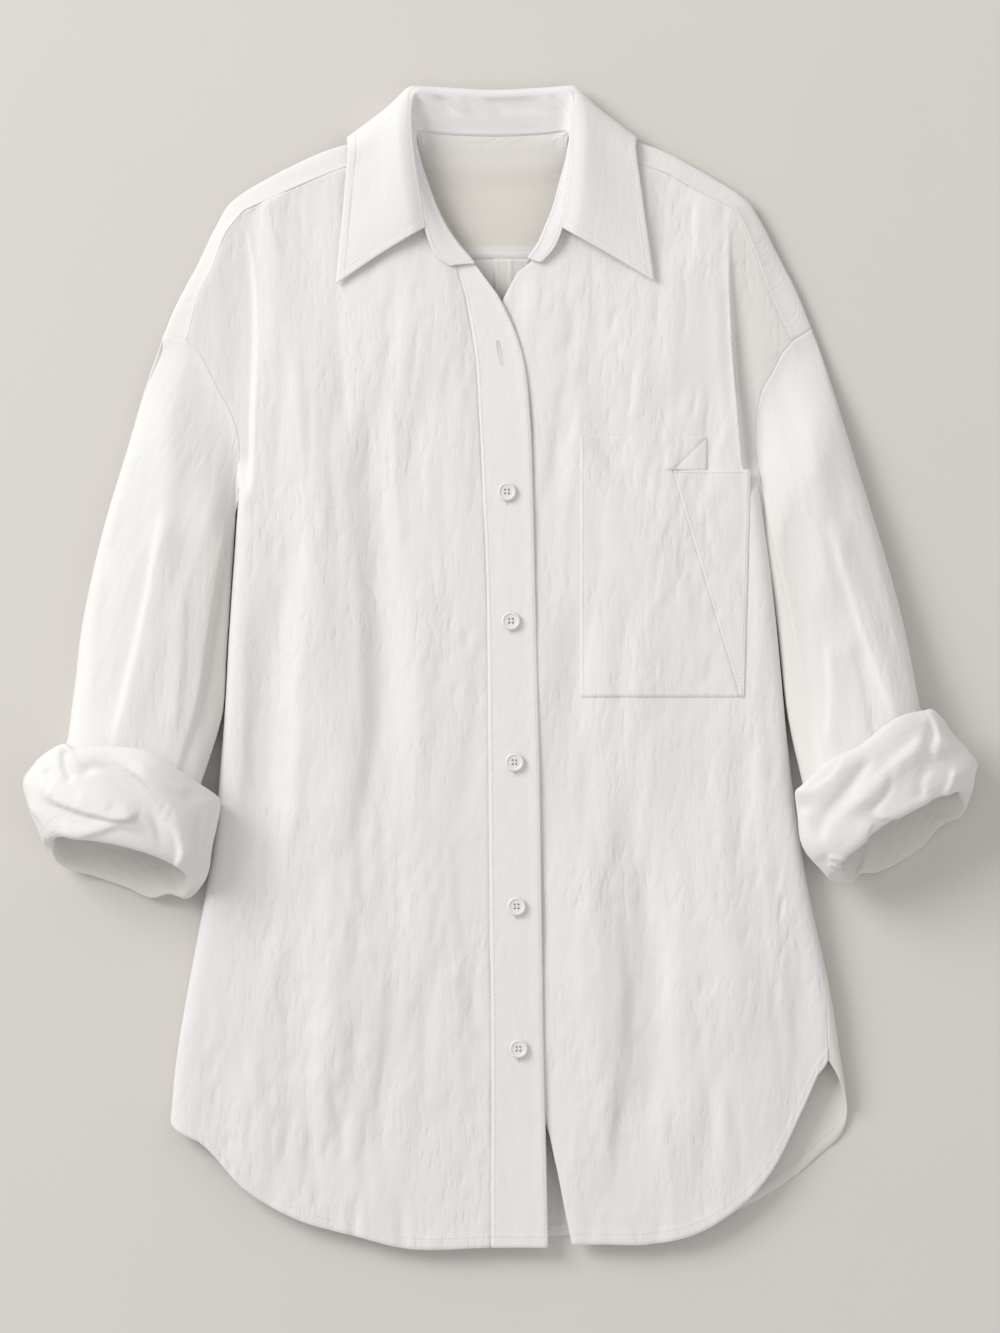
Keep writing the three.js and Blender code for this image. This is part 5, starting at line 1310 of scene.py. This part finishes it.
u, v = steps((1.0, 62))[None, :], steps((1.0, 96))[:, None]
lower_rows = mix(POCKET["bottom"], POCKET["band"], steps((1.0, 84)))
band_rows = mix(POCKET["band"] + 2 * POCKET_STEP, POCKET["top"], steps((1.0, 26)))
y = np.concatenate([lower_rows, band_rows])[:, None] + 0 * u
slant = pocket_seam(np.minimum(y, POCKET["band"]))
side_x = np.where(y > POCKET["band"], POCKET["corner"], slant) - SEAM
notch = POCKET["notch"] - SEAM
x = np.where(u <= 0.7, mix(POCKET["left"], notch, u / 0.7), mix(notch, side_x, (u - 0.7) / 0.3))
pocket_grids = {"main": on_front(x, y)}
u = u[:, ::3]
y = mix(POCKET["bottom"], POCKET["band"] - 0.15, v) + 0 * u
x = mix(pocket_seam(y) + SEAM, mix(POCKET["foot"], POCKET["side"], v), u)
pocket_grids["side"] = on_front(x, y)
POCKET_SEWN = {"main": ("left", "bottom"), "side": ("left", "right", "bottom", "top")}
for name, grid in pocket_grids.items():
    x, y = grid[..., 0], grid[..., 1]
    across, along = distances(grid, 1), distances(grid, 0)
    rim = np.minimum(np.minimum(across, across[:, -1:] - across), along)
    calm = 0.3 + 0.7 * smooth(1, 9, rim)
    relief = wrinkled(x, y, 17) + lift_of(MAIN_CREASES, x, y)
    relief = relief + 0.28 * calm * wrinkled(0.8 * x + 0.6 * y, 0.8 * y - 0.6 * x, 24)
    relief = relief + 0.6 * seam_groove(rim, 58, x + y)
    if name == "main":  # the corner of the band is turned down along a slanting fold
        turned = (x - 117.2) * 0.68 - (y - POCKET["band"]) * 0.70
        step = 0.3 * smooth(-0.5, 0.5, turned) + 0.55 * bump(turned, 0, 0.9)
        relief = relief - step * (y > POCKET["band"] + POCKET_STEP)
    else:
        relief = relief - 0.3 * smooth(100, POCKET["band"], y)
    piece, pocket_top = cloth(f"pocket_{name}_cloth", grid, relief, FRONT, thick=0.6, chart=(x, y))
    declare(piece, f"pocket_{name}")
    for edge in POCKET_SEWN[name]:
        stitch(pocket_top, edge, EDGE_STITCH)

# %% [markdown]
# ## Buttons
# A shirt button is turned from resin: a flat back, a rounded rim and a sunk middle with four holes.
# The profile is spun round, and a boolean takes the holes out. Two loops of thread cross the
# middle, and the button sits a little clear of the placket.

# %% Build the buttons
BUTTONS = [(4.4, 119), (7.1, 31.6), (9.5, -64), (10.9, -161.5), (12.2, -258)]
BUTTON_PROFILE = [(0, 0), (5.2, 0), (6.1, 0.5), (6.35, 1.3), (6.2, 2.1), (5.7, 2.55), (5.1, 2.6),
                  (4.6, 2.35), (4.2, 1.95), (3.0, 1.85), (0, 1.85)]
BUTTON_LIFT = 1.3
HOLE, HOLE_APART = 0.75, 1.25  # radius, and distance from the button's middle lines
BUTTON_SIDES, HOLE_SIDES, SHARP = 48, 14, math.radians(40)

def spun(profile, sides):
    """Points and faces of a profile of (radius, height) pairs spun round the middle."""
    angle = 2 * math.pi * np.arange(sides) / sides
    circle = np.stack([np.cos(angle), np.sin(angle)], -1)
    points = [(0, 0, profile[0][1])]
    for r, h in profile[1:-1]:
        points += [(r * x, r * y, h) for x, y in circle]
    points.append((0, 0, profile[-1][1]))
    faces = [(0, 1 + (k + 1) % sides, 1 + k) for k in range(sides)]
    for low in range(1, 1 + (len(profile) - 3) * sides, sides):
        high = low + sides
        for k in range(sides):
            ahead = (k + 1) % sides
            faces.append((low + k, low + ahead, high + ahead, high + k))
    top = len(points) - 1
    high = top - sides
    return points, faces + [(high + k, high + (k + 1) % sides, top) for k in range(sides)]

def mesh_from(name, points, faces, material):
    mesh = bpy.data.meshes.new(name)
    mesh.from_pydata([tuple(np.array(p) * MM) for p in points], [], faces)
    mesh.materials.append(material)
    made = bpy.data.objects.new(name, mesh)
    bpy.context.scene.collection.objects.link(made)
    return made

def applied(piece):
    """Turns an object's modifiers into plain mesh."""
    depsgraph = bpy.context.evaluated_depsgraph_get()
    result = bpy.data.meshes.new_from_object(piece.evaluated_get(depsgraph))
    piece.modifiers.clear()
    piece.data = result

blank = mesh_from("button_blank", *spun(BUTTON_PROFILE, BUTTON_SIDES), RESIN)
drill_points, drill_faces = [], []
for dx in (-1, 1):
    for dy in (-1, 1):
        points, faces = spun([(0, -1), (HOLE, -1), (HOLE, 4), (0, 4)], HOLE_SIDES)
        shift = len(drill_points)
        drill_points += [(x + dx * HOLE_APART, y + dy * HOLE_APART, z) for x, y, z in points]
        drill_faces += [tuple(i + shift for i in f) for f in faces]
drill = mesh_from("drill", drill_points, drill_faces, RESIN)
cutter = blank.modifiers.new("holes", "BOOLEAN")
cutter.operation = "DIFFERENCE"
cutter.solver = "EXACT"
cutter.object = drill
applied(blank)
blank.data.shade_smooth()
blank.data.set_sharp_from_angle(angle=SHARP)
blank_points = np.array([v.co[:] for v in blank.data.vertices]) / MM
for index, (x, y) in enumerate(BUTTONS, 1):
    button = bpy.data.objects.new(f"button_{index}_resin", blank.data.copy())
    height = float(front_height(x, y)) + BUTTON_LIFT
    lean = 0.035 * noise(np.array(index * 1.7), np.array(0.3), 5)
    moved = blank_points + np.array([x, y, height])
    moved[:, 2] += lean * blank_points[:, 0]
    button.data.vertices.foreach_set("co", (moved * MM).astype(np.float32).ravel())
    button.data.update()
    bpy.context.scene.collection.objects.link(button)
    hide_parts(f"button_{index}")
    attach(button, "root")
for helper in (blank, drill):
    bpy.data.objects.remove(helper)
print("buttons", len(BUTTONS))

# %% [markdown]
# ## Sewing with Geometry Nodes
# A row of stitches is the same small loop of thread, repeated along a line. Geometry
# Nodes do exactly that: the line is measured into equal steps, and at each step a short
# bead of thread is placed and turned along the line. One tree with named inputs serves
# every row of the shirt, the close bars of the buttonholes and the thread on the buttons.

# %% The stitch tree
def build_stitch_tree():
    tree = bpy.data.node_groups.new("stitch row", "GeometryNodeTree")
    for label, kind, value in (
            ("Geometry", "NodeSocketGeometry", None), ("Pitch", "NodeSocketFloat", 0.0026),
            ("Length", "NodeSocketFloat", 0.0021), ("Thickness", "NodeSocketFloat", 0.00042),
            ("Turn", "NodeSocketFloat", 0.0), ("Thread", "NodeSocketMaterial", None)):
        socket = tree.interface.new_socket(name=label, in_out="INPUT", socket_type=kind)
        if value is not None:
            socket.default_value = value
    tree.interface.new_socket(name="Geometry", in_out="OUTPUT", socket_type="NodeSocketGeometry")
    start, end = tree.nodes.new("NodeGroupInput"), tree.nodes.new("NodeGroupOutput")
    curve = node(tree, "GeometryNodeMeshToCurve", i0=start.outputs["Geometry"])
    measured = node(tree, "GeometryNodeResampleCurve", {"mode": "LENGTH"}, Curve=curve.outputs[0],
                    Length=start.outputs["Pitch"])
    bead = node(tree, "GeometryNodeMeshIcoSphere", Radius=0.5, Subdivisions=1)
    size = node(tree, "ShaderNodeCombineXYZ", X=start.outputs["Length"],
                Y=start.outputs["Thickness"], Z=start.outputs["Thickness"])
    tangent = node(tree, "GeometryNodeInputTangent")
    aligned = node(tree, "FunctionNodeAlignRotationToVector", {"axis": "X"},
                   Vector=tangent.outputs[0])
    turn = node(tree, "ShaderNodeCombineXYZ", Z=start.outputs["Turn"])
    extra = node(tree, "FunctionNodeEulerToRotation", i0=turn.outputs[0])
    turned = node(tree, "FunctionNodeRotateRotation", {"rotation_space": "LOCAL"},
                  i0=aligned.outputs[0], i1=extra.outputs[0])
    placed = node(tree, "GeometryNodeInstanceOnPoints", Points=measured.outputs[0],
                  Instance=bead.outputs[0], Rotation=turned.outputs[0], Scale=size.outputs[0])
    real = node(tree, "GeometryNodeRealizeInstances", i0=placed.outputs[0])
    soft = node(tree, "GeometryNodeSetShadeSmooth", i0=real.outputs[0])
    painted = node(tree, "GeometryNodeSetMaterial", Geometry=soft.outputs[0],
                   Material=start.outputs["Thread"])
    tree.links.new(painted.outputs[0], end.inputs[0])
    return tree

STITCH_TREE = build_stitch_tree()

def sew(name, lines, slot, **inputs):
    """A piece of thread along lines, each an array of points in millimetres."""
    points = np.vstack(lines) * MM
    edges, start = [], 0
    for one in lines:
        edges += [(start + k, start + k + 1) for k in range(len(one) - 1)]
        start += len(one)
    mesh = bpy.data.meshes.new(name)
    mesh.from_pydata(points.tolist(), edges, [])
    piece = bpy.data.objects.new(name, mesh)
    bpy.context.scene.collection.objects.link(piece)
    modifier = piece.modifiers.new("stitches", "NODES")
    modifier.node_group = STITCH_TREE
    sockets = {item.name: item.identifier for item in STITCH_TREE.interface.items_tree
               if item.item_type == "SOCKET" and item.in_out == "INPUT"}
    for label, value in {"Thread": THREAD, **inputs}.items():
        modifier[sockets[label]] = value
    applied(piece)
    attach(piece, "root")
    print(name, "triangles:", sum(len(p.vertices) - 2 for p in piece.data.polygons))

sew("seam_stitching", stitch_lines, "cotton_band")

# %% Buttonholes and the thread on the buttons
EMPTY_HOLE = (-0.8, 213)  # its button is hidden

def on_placket(x, y):
    return front_height(x, y) + 0.75

def oblong(x, y, half_length, half_width, lean=0.0):
    """A closed path round a buttonhole."""
    angle = np.linspace(0, 2 * math.pi, 41)
    dx = half_width * np.sign(np.cos(angle)) * np.abs(np.cos(angle)) ** 0.5
    dy = half_length * np.sin(angle)
    px, py = x + dx + lean * dy, y + dy
    return np.stack([px, py, on_placket(px, py)], -1)

holes = [oblong(x, y - 2.6, 6.6, 0.9) for x, y in BUTTONS]
holes.append(oblong(*EMPTY_HOLE, 8.4, 1.0, lean=-0.18))
sew("buttonhole_bars", holes, "cotton_band", Pitch=0.0005, Length=0.0016, Thickness=0.0005,
    Turn=math.pi / 2)
threads = []
for x, y in BUTTONS:
    height = float(front_height(x, y)) + BUTTON_LIFT + 2.0
    for dx in (-1, 1):
        for shift in (-0.16, 0.16):
            t = np.linspace(-0.9, 0.9, 9)
            arch = height - 0.2 + 0.25 * (1 - t**2)
            across = x + dx * HOLE_APART + shift + 0 * t
            threads.append(np.stack([across, y + HOLE_APART * t, arch], -1))
sew("button_thread", threads, "cotton_band", Pitch=0.0003, Length=0.0005, Thickness=0.0003)
